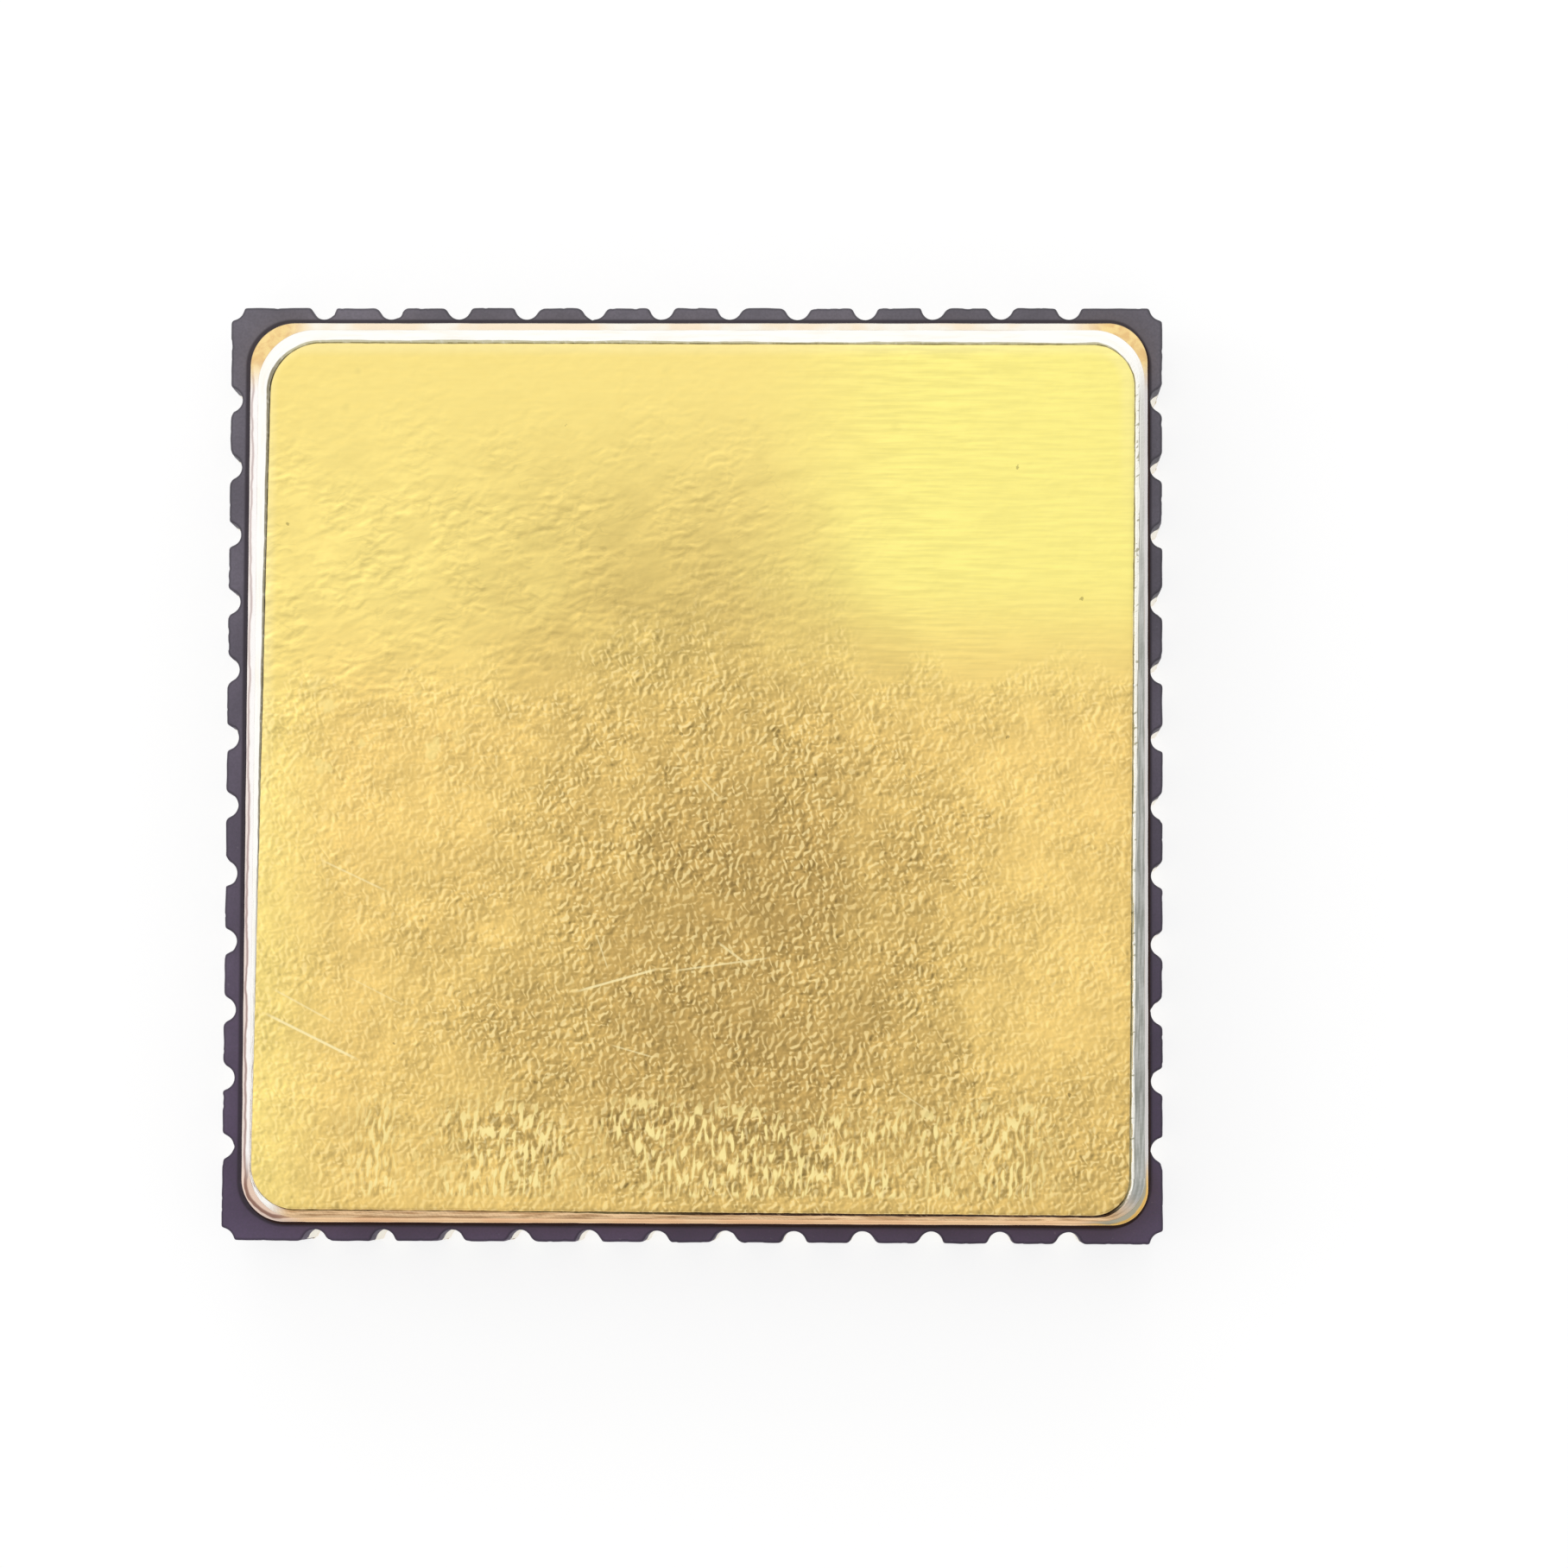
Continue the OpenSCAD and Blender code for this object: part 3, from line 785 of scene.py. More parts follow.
# Scratches on the lid's face: start, end, width and strength
SCRATCHES = (
    ((-5.02, -2.82), (-3.80, -3.42), 0.022, 0.9),
    ((-4.90, -2.55), (-4.10, -2.98), 0.016, 0.5),
    ((-4.35, -1.05), (-3.50, -1.45), 0.016, 0.5),
    ((-1.40, -2.61), (-0.30, -2.30), 0.020, 0.8),
    ((-0.30, -2.36), (1.00, -2.18), 0.016, 0.6),
    ((0.30, -2.00), (0.71, -2.31), 0.020, 0.6),
    ((-0.95, -3.20), (-0.39, -3.36), 0.014, 0.5),
    ((-1.11, -1.90), (-0.95, -2.36), 0.012, 0.5),
    ((0.09, -0.09), (0.34, -0.34), 0.016, 0.5),
    ((2.36, -3.69), (2.81, -3.99), 0.012, 0.4),
    ((-4.02, -2.41), (-3.31, -2.77), 0.012, 0.35),
)
# How far from its middle a scratch keeps its full strength, as a part of its length and width
SCRATCH_CORE = 0.3


def scratch_mask(m):
    """Fine scratches that fade out at their ends and sides."""
    total = None
    for (x0, y0), (x1, y1), width, strength in SCRATCHES:
        length = math.hypot(x1 - x0, y1 - y0)
        angle = math.degrees(math.atan2(y1 - y0, x1 - x0))
        middle = (-(x0 + x1) / 2, -(y0 + y1) / 2, 0)
        x, y, _ = m.parts(m.mapped(turn=angle, offset=middle))
        along = m.smooth(m.size(x), length / 2, length * SCRATCH_CORE)
        across = m.smooth(m.size(y), width, width * SCRATCH_CORE)
        line = m.times(along, across, strength)
        total = line if total is None else m.larger(total, line)
    return total


def painted_dark_reflection(m):
    """How strongly the face gets a painted dark brown reflection: most in front of its middle."""
    middle = m.smooth(m.y, 2.5, -1.0, 0.0, 0.7)
    off = m.minus(m.x, middle)
    left_reach = m.smooth(m.y, 1.0, -4.0, 3.9, 5.3)
    right_reach = m.smooth(m.y, 2.5, -0.5, 2.3, 3.9)
    right = m.smooth(off, -0.05, 0.05)
    reach = m.add(left_reach, m.times(right, m.minus(right_reach, left_reach)))
    share = m.add(m.math("DIVIDE", m.size(off), reach), m.spread(m.noise(0.9, 3), -0.11, 0.11))
    bell = m.smooth(share, 1.0, 0.07)
    strength = m.add(m.smooth(m.y, 4.7, 1.8, 0.0, 0.52), m.smooth(m.y, 0.6, -1.0, 0.0, 0.42))
    front = m.smooth(m.y, -3.9, -5.3, 1.0, 0.42)
    corner = m.times(m.smooth(m.y, -2.8, -4.2), m.smooth(m.x, 1.5, 3.4))
    return m.larger(m.times(bell, strength, front), m.times(corner, 0.38))


def wrinkles(m):
    """Light and shade of soft slanting wrinkles and creases, mostly at the upper half's left."""
    wrinkle = m.relief(1.0, 2, (0.02, -0.04), stretch=(5.2, 10.5, 1), turn=14, distortion=0.5)
    patch = m.smooth(m.noise(1.6, 2, m.mapped(offset=(6, 3, 0))), 0.36, 0.58, 0.25, 1.0)
    broad = m.noise(1.0, 4, m.mapped((1.5, 4.4, 1), turn=13), distortion=1.0)
    crease = m.noise(1.0, 2, m.mapped((1.6, 4.2, 1), turn=16, offset=(2, 5, 0)), distortion=1.0)
    crease = m.smooth(m.size(m.minus(crease, 0.5)), 0.035, 0.0)
    crease = m.times(crease, m.smooth(m.noise(2.3, 2), 0.50, 0.64, 0.0, 0.07))
    where = m.times(m.smooth(m.y, 4.7, 2.8), m.smooth(m.x, 2.6, 0.4), m.smooth(m.y, -0.4, 1.2))
    amount = m.add(m.times(wrinkle, patch, 0.60), m.spread(broad, -0.06, 0.05))
    return m.times(m.add(where, 0.12), m.minus(amount, crease))


def hairlines(m):
    """Light and shade of fine lines from left to right, mostly at the upper half's right."""
    hairline = m.noise(1.0, 3, m.mapped((1.5, 19, 1)))
    right = m.smooth(m.x, 0.8, 2.4)
    where = m.times(right, m.smooth(m.y, 0.2, 1.4), m.smooth(m.x, 2.4, 4.4, 1.0, 0.55))
    return m.times(m.spread(hairline, -0.06, 0.05), m.add(where, 0.2))


def smudges(m):
    """How much a few scattered smudges darken the upper half."""
    smudge, pick = m.spots(1.9, m.mapped(offset=(0.7, 0.2, 0)))
    smudge = m.add(smudge, m.spread(m.noise(5, 2), -0.05, 0.05))
    picked = m.smooth(pick, 0.5, 0.6, 0.0, 0.07)
    return m.times(m.smooth(smudge, 0.16, 0.03), picked, m.smooth(m.y, 1.0, 2.0))


def upper_texture(m):
    """Brightness of the face from its upper half: painted light and shade of wrinkles and fine
    lines, and darker smudges.
    """
    return m.minus(m.add(1.0, m.add(wrinkles(m), hairlines(m))), smudges(m))


def lower_texture(m, lower, dark_reflection):
    """The lower half's brightness: painted light and shade of curved ridges and hollows, over grain
    and mottling; and a mask of painted highlights on the ridges.
    """
    cluster = m.noise(1.5, 3, m.mapped(offset=(1, 4, 0)))
    curl = (1.1, 0.9, 1)
    # Painted light and shade of curved ridges, from the same noise a short way off
    here = m.noise(9.0, 1, m.mapped(curl, offset=(4, 7, 0)), distortion=0.3)
    off = m.noise(9.0, 1, m.mapped(curl, offset=(4.029, 6.982, 0)), distortion=0.3)
    ridge = m.minus(m.size(m.minus(off, 0.5)), m.size(m.minus(here, 0.5)))
    hollow = m.smooth(m.noise(12, 1, m.mapped(offset=(9, 1, 0))), 0.46, 0.26)
    flank = m.relief(12, 1, (0.022, -0.016), distortion=0.3)
    coarse = m.spread(m.noise(1.7, 3), -0.07, 0.06)
    mottle = m.smooth(m.noise(4.4, 2, m.mapped(offset=(2, 9, 0))), 0.32, 0.68, -0.105, 0.09)
    # The ridges' painted light and shade is deeper in the painted dark reflection
    in_dark_reflection = m.smooth(dark_reflection, 0.0, 0.5, 0.55, 1.0)
    depth = m.times(lower, in_dark_reflection, m.smooth(cluster, 0.32, 0.64, 0.65, 1.25))
    # Painted light on the ridges, painted shade in the hollows
    lit = m.add(m.times(ridge, 1.3), m.larger(ridge, 0.0))
    amount = m.add(lit, mottle, m.minus(m.times(flank, 0.8), m.times(hollow, 0.17)))
    amount = m.add(m.times(depth, amount), m.times(lower, coarse))
    return m.add(1.0, amount), m.times(m.smooth(ridge, 0.02, 0.09), depth)


def glint_streak_mask(m):
    """Painted glints: upright pale strokes in a band along the face's front, and the darker gaps
    between them.
    """
    glint_noise = m.noise(1.0, 0, m.mapped((21, 6.0, 1), turn=-5), distortion=0.25)
    patches = m.noise(1.1, 2, m.mapped((1, 0.5, 1), offset=(8.2, 2.0, 0)))
    start = m.smooth(m.add(m.y, m.times(patches, -1.1)), -4.25, -4.75)
    width = m.times(m.smooth(m.x, -4.3, -3.5), m.smooth(m.x, 4.5, 3.7))
    patchy = m.smooth(patches, 0.36, 0.50, 0.25, 1.0)
    band = m.times(start, m.smooth(m.y, -5.0, -4.93), width, patchy)
    strokes = m.times(band, m.smooth(glint_noise, 0.52, 0.67))
    gaps = m.times(band, m.smooth(glint_noise, 0.48, 0.34))
    return strokes, gaps


def blot_mask(m):
    """Pale smooth blotches left of the middle."""
    blots, pick = m.spots(2.6, m.mapped(offset=(0.3, 0.1, 0)))
    blots = m.add(blots, m.spread(m.noise(6, 2), -0.12, 0.12))
    area = m.times(m.smooth(m.x, -2.4, -3.2), m.smooth(m.y, -0.6, -0.1), m.smooth(m.y, 1.2, 0.8))
    return m.times(m.smooth(blots, 0.36, 0.22), m.times(area, m.smooth(pick, 0.35, 0.4)))


def pit_mask(m):
    """Small ragged pits, scattered over the whole face."""
    pits, pick = m.spots(1.5)
    ragged = m.add(pits, m.spread(m.noise(30, 1), -0.012, 0.02))
    return m.times(m.smooth(ragged, 0.042, 0.026), m.smooth(pick, 0.45, 0.5))


def lower_half(m):
    """Mask of the grained lower half, whose ragged edge is higher and softer in the middle."""
    middle = m.smooth(m.size(m.minus(m.x, 0.4)), 2.6, 0.4)
    ragged = m.spread(m.noise(1.6, 3), -0.30, 0.30)
    above = m.minus(m.add(m.y, ragged), m.add(m.times(middle, 0.35), 1.05))
    reach = m.add(m.times(middle, 0.8), 0.3)
    return m.smooth(above, reach, m.times(reach, -0.9))


def face_tints(m, dark_reflection):
    """Gold with painted reflections: lemon at the right back, orange towards the front, brown in
    the dark reflection, and pale at the left and back edge.
    """
    gold = (0.950, 0.765, 0.250)
    lemon = (0.985, 0.870, 0.258)
    orange = (0.890, 0.630, 0.207)
    brown = (0.530, 0.348, 0.112)
    painted_edge_highlight = (0.98, 0.88, 0.48)
    # Painted reflection: brighter lemon at the right back, darker orange towards the front
    to_lemon = m.times(m.smooth(m.x, 0.2, 3.0), m.smooth(m.y, 0.6, 2.6))
    to_orange = m.times(m.smooth(m.y, 2.4, 0.2), m.smooth(m.x, -5.6, -3.8))
    base = m.mix(to_lemon, gold, lemon)
    base = m.mix(to_orange, base, orange)
    base = m.mix(dark_reflection, base, brown)
    # Painted highlight just inside the face's edge, at the left and back
    edge = m.inside(FACE_CENTRE, FACE_HALF, FACE_R)
    left_back = m.smooth(m.add(m.y, m.times(m.x, -0.4)), 0.0, 4.0)
    glow = m.times(m.smooth(edge, 0.16, 0.03), left_back)
    return m.mix(m.times(glow, 0.30), base, painted_edge_highlight)


def lid_face_material():
    """Gold plated face, worn, with painted light, shade and reflections."""
    painted_ridge_highlight = (0.95, 0.78, 0.38)
    painted_glint_colour = (1.0, 0.83, 0.36)
    pale_blot = (0.95, 0.76, 0.29)
    bright_scratch = (1.0, 0.86, 0.46)
    m = Shader("lid_gold_face", (0.93, 0.74, 0.28), 1.0, 0.36)
    dark_reflection = painted_dark_reflection(m)
    lower = lower_half(m)
    texture, ridge_highlights = lower_texture(m, lower, dark_reflection)
    glint, glint_gap = glint_streak_mask(m)
    pit = pit_mask(m)
    scratch = scratch_mask(m)

    base = m.shade(face_tints(m, dark_reflection), upper_texture(m))
    base = m.shade(base, texture)
    base = m.mix(m.times(ridge_highlights, 0.55), base, painted_ridge_highlight)
    # Painted glints, and the gaps between them darkened
    base = m.mix(glint, base, painted_glint_colour)
    base = m.shade(base, m.smooth(glint_gap, 0.0, 1.0, 1.0, 0.74))
    base = m.mix(m.times(blot_mask(m), 0.7), base, pale_blot)
    base = m.shade(base, m.smooth(pit, 0.0, 1.0, 1.0, 0.6))
    base = m.mix(scratch, base, bright_scratch)

    grain = m.noise(10, 2)
    height = m.times(grain, m.smooth(lower, 0.0, 1.0, 0.15, 1.0))
    height = m.minus(m.add(height, m.times(glint, 0.6)), m.times(m.add(pit, scratch), 0.6))
    return m.set(
        base_color=base, roughness=m.spread(grain, 0.30, 0.42),
        normal=m.bump(height, 0.5, 0.005),
    )


def silver_track(m, v, thread, tick, blotch):
    """The track's right side as painted reflection: silver threads, paler at the back, and a bead
    beside the face with a painted highlight.
    """
    silver = m.mix(m.smooth(thread, 0.35, 0.65), (0.36, 0.37, 0.335), (0.56, 0.56, 0.53))
    silver = m.shade(silver, m.smooth(blotch, 0.35, 0.65, 0.92, 1.08))
    silver = m.mix(m.smooth(m.y, 1.0, 4.2, 0.0, 0.75), silver, (0.88, 0.86, 0.80))
    bead = m.mix(m.smooth(tick, 0.34, 0.42), (0.50, 0.48, 0.36), (1.0, 0.98, 0.90))
    past_start = m.minus(v, m.smooth(m.y, *BEAD_Y, 0.70, 0.48))
    silver = m.mix(m.smooth(past_start, -0.03, 0.03), silver, bead)
    crack = m.times(m.smooth(m.size(past_start), 0.045, 0.015), m.smooth(blotch, 0.42, 0.56))
    return m.mix(m.times(crack, 0.7), silver, (0.20, 0.18, 0.12))


def copper_track(m, streak, blotch):
    """The track's front: copper coloured streaks, a painted dark reflection."""
    copper = m.mix(m.smooth(streak, 0.38, 0.60), (0.56, 0.335, 0.165), (0.90, 0.62, 0.355))
    return m.shade(copper, m.spread(blotch, 0.90, 1.1))


def track_groove(m, v, tick, front, left):
    """Mask and colour of the groove beside the face, painted dark as shade: where it starts varies
    round the lid.
    """
    back_w = m.times(m.side(BACK), m.smooth(m.x, 1.0, -2.0, 0.08, 0.15))
    start = m.minus(0.87, m.add(back_w, m.times(left, 0.20)))
    start = m.minus(start, m.times(front, m.smooth(m.x, -2.5, 0.5, 0.0, 0.28)))
    uneven = m.smooth(tick, 0.25, 0.5, 0.75, 1.0)
    fade = m.smooth(m.y, -3.5, 0.5, 0.25, 1.0)
    shown = m.smooth(m.times(left, m.minus(1.0, fade)), 0.0, 1.0, 1.0, 0.0)
    groove = m.times(m.smooth(m.minus(v, start), 0.0, 0.05), uneven, shown)
    # Painted shade in the groove: near black at the front right, olive brown at the front left,
    # olive elsewhere
    dark_front = m.mix(m.smooth(m.x, -2.5, 0.5), (0.34, 0.27, 0.10), (0.045, 0.020, 0.008))
    dark = m.mix(left, m.mix(front, (0.55, 0.51, 0.34), dark_front), (0.29, 0.26, 0.18))
    return groove, dark


def weld_material():
    """Seam weld track with painted reflections: pale at the back and left, silver at the right,
    copper at the front.
    """
    m = Shader("lid_weld_track", (0.85, 0.80, 0.70), 1.0, 0.26)
    along = m.node("ShaderNodeUVMap", uv_map="weld").outputs[0]
    u, v, _ = m.parts(along)
    streak = m.noise(1.0, 2, m.mapped((0.11, 3.2, 1), source=along))
    wave = m.noise(1.0, 3, m.mapped((0.10, 1.5, 1), source=along, offset=(7, 3, 0)))
    tick = m.noise(1.0, 2, m.mapped((0.9, 1.2, 1), source=along))
    thread = m.noise(1.0, 2, m.mapped((0.14, 6.0, 1), source=along))
    blotch = m.noise(1.3, 3)
    left = m.side(LEFT)
    right = m.times(m.side(RIGHT), m.smooth(m.y, 4.75, 4.25))
    front = m.times(m.side(FRONT), m.smooth(m.x, -4.95, -4.65))
    v = m.add(v, m.spread(wave, -0.035, 0.035))

    # Painted reflection: near white on the back and left slopes
    base = m.mix(m.smooth(streak, 0.4, 0.75), (0.98, 0.97, 0.93), (0.96, 0.92, 0.84))
    base = m.mix(right, base, silver_track(m, v, thread, tick, blotch))
    base = m.mix(front, base, copper_track(m, streak, blotch))
    groove, dark = track_groove(m, v, tick, front, left)
    base = m.mix(groove, base, dark)
    seam = m.smooth(v, 0.05, -0.02, 0.0, 0.5)
    base = m.mix(seam, base, m.mix(front, (0.60, 0.46, 0.36), (0.30, 0.16, 0.10)))
    scallop = m.size(m.math("SINE", m.times(u, math.pi)))
    return m.set(base_color=base, normal=m.bump(m.add(m.times(scallop, 0.2), streak), 0.25, 0.002))


def ring_sides(m, band, streak):
    """The ring's straight sides, painted with reflections: pale at the back, pink in front, grey at
    the right. The left one has a darker line along its middle.
    """
    tint = m.smooth(streak, 0.4, 0.6)
    back = m.mix(tint, (0.94, 0.90, 0.80), (0.93, 0.79, 0.60))
    front = m.mix(tint, (0.98, 0.66, 0.38), (0.94, 0.575, 0.32))
    right = (0.76, 0.72, 0.71)
    pale = m.mix(m.smooth(m.y, 1.5, -2.5), (0.90, 0.82, 0.78), (0.80, 0.68, 0.62))
    line = m.times(m.smooth(band, 0.018, 0.030), m.smooth(band, 0.052, 0.040))
    dark_line = m.mix(m.smooth(m.y, 2.5, -3.5), (0.62, 0.52, 0.50), (0.42, 0.30, 0.28))
    left = m.mix(line, pale, dark_line)
    left = m.mix(m.smooth(band, 0.046, 0.060), left, (0.97, 0.94, 0.92))
    base = m.mix(m.side(BACK), (0.86, 0.70, 0.42), back)
    base = m.mix(m.side(LEFT), base, left)
    base = m.mix(m.side(RIGHT), base, right)
    return m.mix(m.side(FRONT), base, front)


def ring_corners(m, band, fine):
    """The ring's corners: gold, with a painted amber reflection along the edge at the right front
    and a painted dark brown reflection at the left front.
    """
    gold = m.mix(m.smooth(fine, 0.46, 0.66), (0.93, 0.70, 0.31), (0.82, 0.55, 0.24))
    amber = m.mix(m.smooth(band, 0.010, 0.028), (0.90, 0.56, 0.16), (0.42, 0.39, 0.29))
    brown = m.mix(m.smooth(band, 0.030, 0.042), (0.84, 0.66, 0.56), (0.30, 0.17, 0.13))
    brown = m.mix(m.smooth(band, 0.062, 0.085), brown, (0.80, 0.60, 0.48))
    gold = m.mix(m.smooth(m.minus(m.x, m.y), 8.6, 9.4), gold, amber)
    return m.mix(m.smooth(m.minus(m.times(m.x, -1), m.y), 8.6, 9.4), gold, brown)


def ring_material():
    """Gold plated ring: its sides beside the weld painted with reflections, brighter gold at the
    corners.
    """
    m = Shader("ring_gold_polish", (0.90, 0.68, 0.33), 1.0, 0.25)
    streak = m.noise(1.4, 3)
    fine = m.noise(7, 3, distortion=0.5)
    depth = m.inside(RING_CENTRE, RING_HALF, RING_R)
    band = m.add(depth, m.spread(m.noise(2.5, 3), -0.012, 0.012))
    corner = m.smooth(m.smaller(m.size(m.x), m.size(m.y)), 4.42, 4.87)
    base = m.mix(corner, ring_sides(m, band, streak), ring_corners(m, band, fine))
    return m.set(
        base_color=base, roughness=m.spread(fine, 0.2, 0.32),
        normal=m.bump(m.add(fine, streak), 0.3, 0.002),
    )


def gold_material():
    """Gold plating: warm on the pads underneath, pale on the notch walls."""
    m = Shader("terminal_gold", (0.83, 0.62, 0.27), 1.0, 0.34)
    cloud = m.noise(6, 4)
    base = m.mix(cloud, (0.72, 0.50, 0.20), (0.90, 0.70, 0.33))
    darkening = m.smooth(m.noise(2.2, 4), 0.58, 0.72, 0.0, 0.5)
    base = m.mix(darkening, base, (0.45, 0.28, 0.12))
    outer = m.smooth(m.larger(m.size(m.x), m.size(m.y)), 5.30, 5.34)
    wall = m.times(outer, m.smooth(m.z, 0.02, 0.06))
    base = m.mix(wall, base, m.mix(cloud, (0.93, 0.86, 0.72), (0.98, 0.94, 0.84)))
    return m.set(
        base_color=base, roughness=m.spread(cloud, 0.28, 0.42),
        normal=m.bump(m.noise(30, 3), 0.3, 0.002),
    )


def braze_material():
    """A real braze fillet painted nearly black as the shade beside the ring, and hardly shiny."""
    m = Shader("braze_painted_shade", (0.03, 0.01, 0.01), 0.0, 0.6)
    m.bsdf.inputs["Specular IOR Level"].default_value = 0.2
    cloud = m.noise(5, 4)
    base = m.mix(cloud, (0.012, 0.004, 0.004), (0.045, 0.016, 0.012))
    return m.set(
        base_color=base, roughness=m.spread(cloud, 0.5, 0.65),
        normal=m.bump(cloud, 0.3, 0.004),
    )


def inner_finish(shader, cloud, tones, roughness, grain):
    """Two clouded tones over a fine grain, for what lies inside."""
    m = Shader(*shader)
    tone = m.noise(*cloud)
    scale, detail, strength, height = grain
    return m.set(
        base_color=m.mix(tone, *tones), roughness=m.spread(tone, *roughness),
        normal=m.bump(m.noise(scale, detail), strength, height),
    )


def silicon_material():
    shader = ("silicon_polish", (0.30, 0.32, 0.36), 0.6, 0.22)
    tones = ((0.25, 0.27, 0.31), (0.34, 0.36, 0.40))
    return inner_finish(shader, (1.4, 3), tones, (0.18, 0.28), grain=(22, 2, 0.1, 0.001))


def wafer_material():
    shader = ("wafer_ground", (0.42, 0.46, 0.50), 0.2, 0.45)
    tones = ((0.36, 0.40, 0.44), (0.46, 0.50, 0.54))
    return inner_finish(shader, (8, 3), tones, (0.38, 0.52), grain=(40, 2, 0.2, 0.001))


def attach_material():
    shader = ("die_adhesive", (0.62, 0.62, 0.64), 0.3, 0.6)
    tones = ((0.52, 0.52, 0.54), (0.70, 0.70, 0.72))
    return inner_finish(shader, (20, 3), tones, (0.5, 0.7), grain=(30, 3, 0.4, 0.003))


def wire_material():
    shader = ("wire_gold_drawn", (0.93, 0.70, 0.28), 1.0, 0.2)
    tones = ((0.86, 0.62, 0.22), (0.96, 0.76, 0.34))
    return inner_finish(shader, (10, 2), tones, (0.16, 0.26), grain=(60, 2, 0.1, 0.001))


def dress_cad_nodes():
    """Gives the CAD nodes that stay their materials."""
    gold, silicon, wafer = gold_material(), silicon_material(), wafer_material()
    adhesive, wire = attach_material(), wire_material()
    finishes = {
        "floor_plating": gold, "sensor_die_attach": adhesive, "readout_die_attach": adhesive,
        "sensor_base": wafer, "sensor_structure": silicon, "sensor_cap": silicon,
        "readout_die": silicon, "bond_wires": wire,
    }
    for name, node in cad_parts.items():
        finish = gold if name.startswith("terminal_") else finishes.get(name)
        if finish:
            node.data.materials.clear()
            node.data.materials.append(finish)


# Studio

# The studio's floor, a hair below the pads. Only the camera and reflections see its glow.
STUDIO_SIZE = 600
STUDIO_Z = -0.002
STUDIO_GREY = (0.32, 0.32, 0.32)
STUDIO_GLOW = 0.78

# The room's light on the chip, and its level in reflections: in the middle, its changes towards
# the back and the right, and its limits
ROOM_LIGHT = 0.62
ROOM_MIRRORED = 0.975
ROOM_TO_BACK = 0.32
ROOM_TO_RIGHT = -0.15
ROOM_LEAST, ROOM_MOST = 0.3, 1.06

# The camera over the ceramic's top face: height, place, and degrees turned about X, Y and Z.
# PHOTO_SCALE is the photograph's pixels to the millimetre on that face.
CAMERA_HEIGHT = 60.0
CAMERA_X, CAMERA_Y = 2.544, -4.278
CAMERA_TURNS = (3.95, 1.41, 0.14)
PHOTO_SCALE = 99.02
PHOTO_SIZE = 1816
SENSOR_W = 36.0


def make_floor():
    bpy.ops.mesh.primitive_plane_add(size=STUDIO_SIZE * MM, location=(0, 0, STUDIO_Z * MM))
    floor = bpy.context.object
    floor.name = "studio_floor"
    material = bpy.data.materials.new("studio_floor_white")
    material.use_nodes = True
    material.node_tree.nodes.clear()
    tree = Nodes(material.node_tree)
    path = tree.node("ShaderNodeLightPath")
    seen = tree.larger(path.outputs["Is Camera Ray"], path.outputs["Is Glossy Ray"])
    diffuse = tree.feed(tree.node("ShaderNodeBsdfDiffuse"), color=STUDIO_GREY)
    glow = tree.feed(tree.node("ShaderNodeEmission"), strength=tree.times(seen, STUDIO_GLOW))
    both = tree.node("ShaderNodeAddShader")
    tree.link(diffuse, both.inputs[0])
    tree.link(glow, both.inputs[1])
    tree.link(both.outputs[0], tree.node("ShaderNodeOutputMaterial").inputs["Surface"])
    floor.data.materials.append(material)


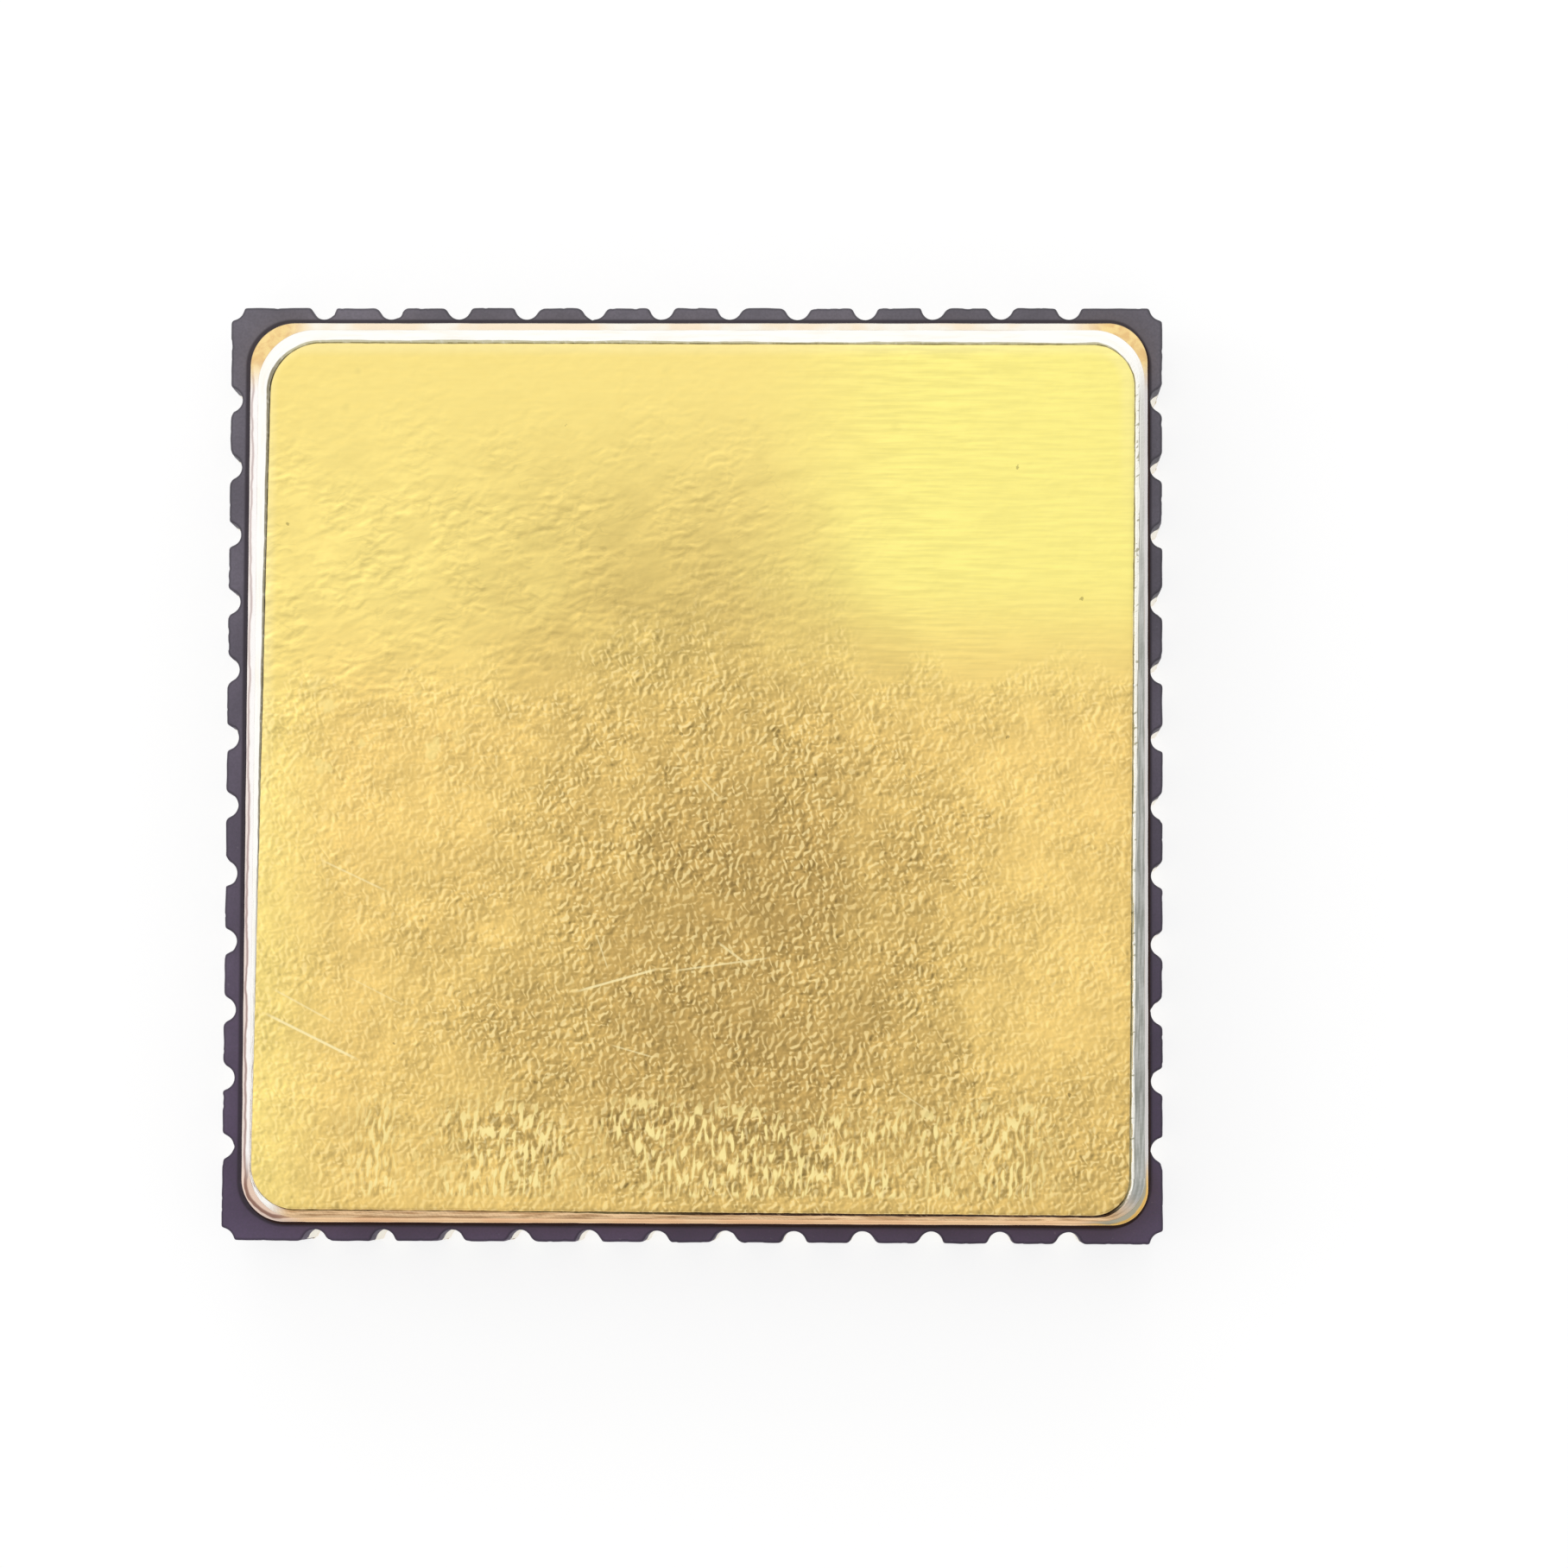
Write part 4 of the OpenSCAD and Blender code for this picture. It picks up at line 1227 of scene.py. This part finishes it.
def make_world():
    """A pale room. In reflections it is brighter behind and to the left of the chip."""
    world = bpy.data.worlds.new("studio_world")
    bpy.context.scene.world = world
    world.use_nodes = True
    world.cycles.sampling_method = "NONE"
    world.node_tree.nodes.clear()
    tree = Nodes(world.node_tree)
    x, y, _ = tree.parts(tree.node("ShaderNodeTexCoord").outputs["Generated"])
    change = tree.add(tree.times(y, ROOM_TO_BACK), tree.times(x, ROOM_TO_RIGHT))
    mirrored = tree.larger(tree.add(ROOM_MIRRORED, change), ROOM_LEAST)
    mirrored = tree.smaller(mirrored, ROOM_MOST)
    path = tree.node("ShaderNodeLightPath")
    glossy = path.outputs["Is Glossy Ray"]
    plain = tree.times(tree.minus(1.0, glossy), ROOM_LIGHT)
    level = tree.add(plain, tree.times(glossy, mirrored))
    level = tree.larger(level, path.outputs["Is Camera Ray"])
    level = tree.larger(level, path.outputs["Is Transmission Ray"])
    room = tree.feed(tree.node("ShaderNodeBackground"), color=(1, 1, 1), strength=level)
    tree.link(room, tree.node("ShaderNodeOutputWorld").inputs["Surface"])


def make_lamp(name, place, size, radiance, tint):
    """A softbox that faces the chip, its light given as radiance. Metal mirrors the room alone."""
    data = bpy.data.lights.new(name, "AREA")
    data.shape = "RECTANGLE"
    data.size, data.size_y = (s * MM for s in size)
    data.energy = radiance * math.pi * data.size * data.size_y
    data.color = tint
    lamp = bpy.data.objects.new(name, data)
    lamp.location = Vector(place) * MM
    lamp.rotation_mode = "QUATERNION"
    lamp.rotation_quaternion = Vector(place).to_track_quat("Z", "Y")
    lamp.visible_glossy = False
    bpy.context.scene.collection.objects.link(lamp)


def make_camera():
    """Looks down on the chip from just in front, as the photograph does."""
    place = Vector((CAMERA_X, CAMERA_Y, body_high.z + CAMERA_HEIGHT))
    turn = Matrix()
    for angle, axis in zip(CAMERA_TURNS, "XYZ"):
        turn = turn @ Matrix.Rotation(math.radians(angle), 4, axis)
    data = bpy.data.cameras.new("photo_camera")
    data.sensor_width = SENSOR_W
    data.lens = PHOTO_SCALE * CAMERA_HEIGHT / PHOTO_SIZE * SENSOR_W
    data.clip_start, data.clip_end = 0.001, 10.0
    camera = bpy.data.objects.new("photo_camera", data)
    camera.matrix_world = Matrix.Translation(place * MM) @ turn
    bpy.context.scene.collection.objects.link(camera)
    bpy.context.scene.camera = camera


make_camera()
make_floor()
make_world()
make_lamp("softbox_back", (-10, 120, 60), (160, 80), radiance=1.06, tint=(1.0, 0.99, 0.97))
make_lamp("softbox_left", (-120, 20, 60), (80, 120), radiance=1.0, tint=(1.0, 0.99, 0.96))
bpy.context.scene.view_settings.view_transform = "Standard"

make_ceramic(ceramic_material())
make_ring(ring_material())
make_braze(braze_material())
make_lid(lid_face_material(), weld_material())
dress_cad_nodes()
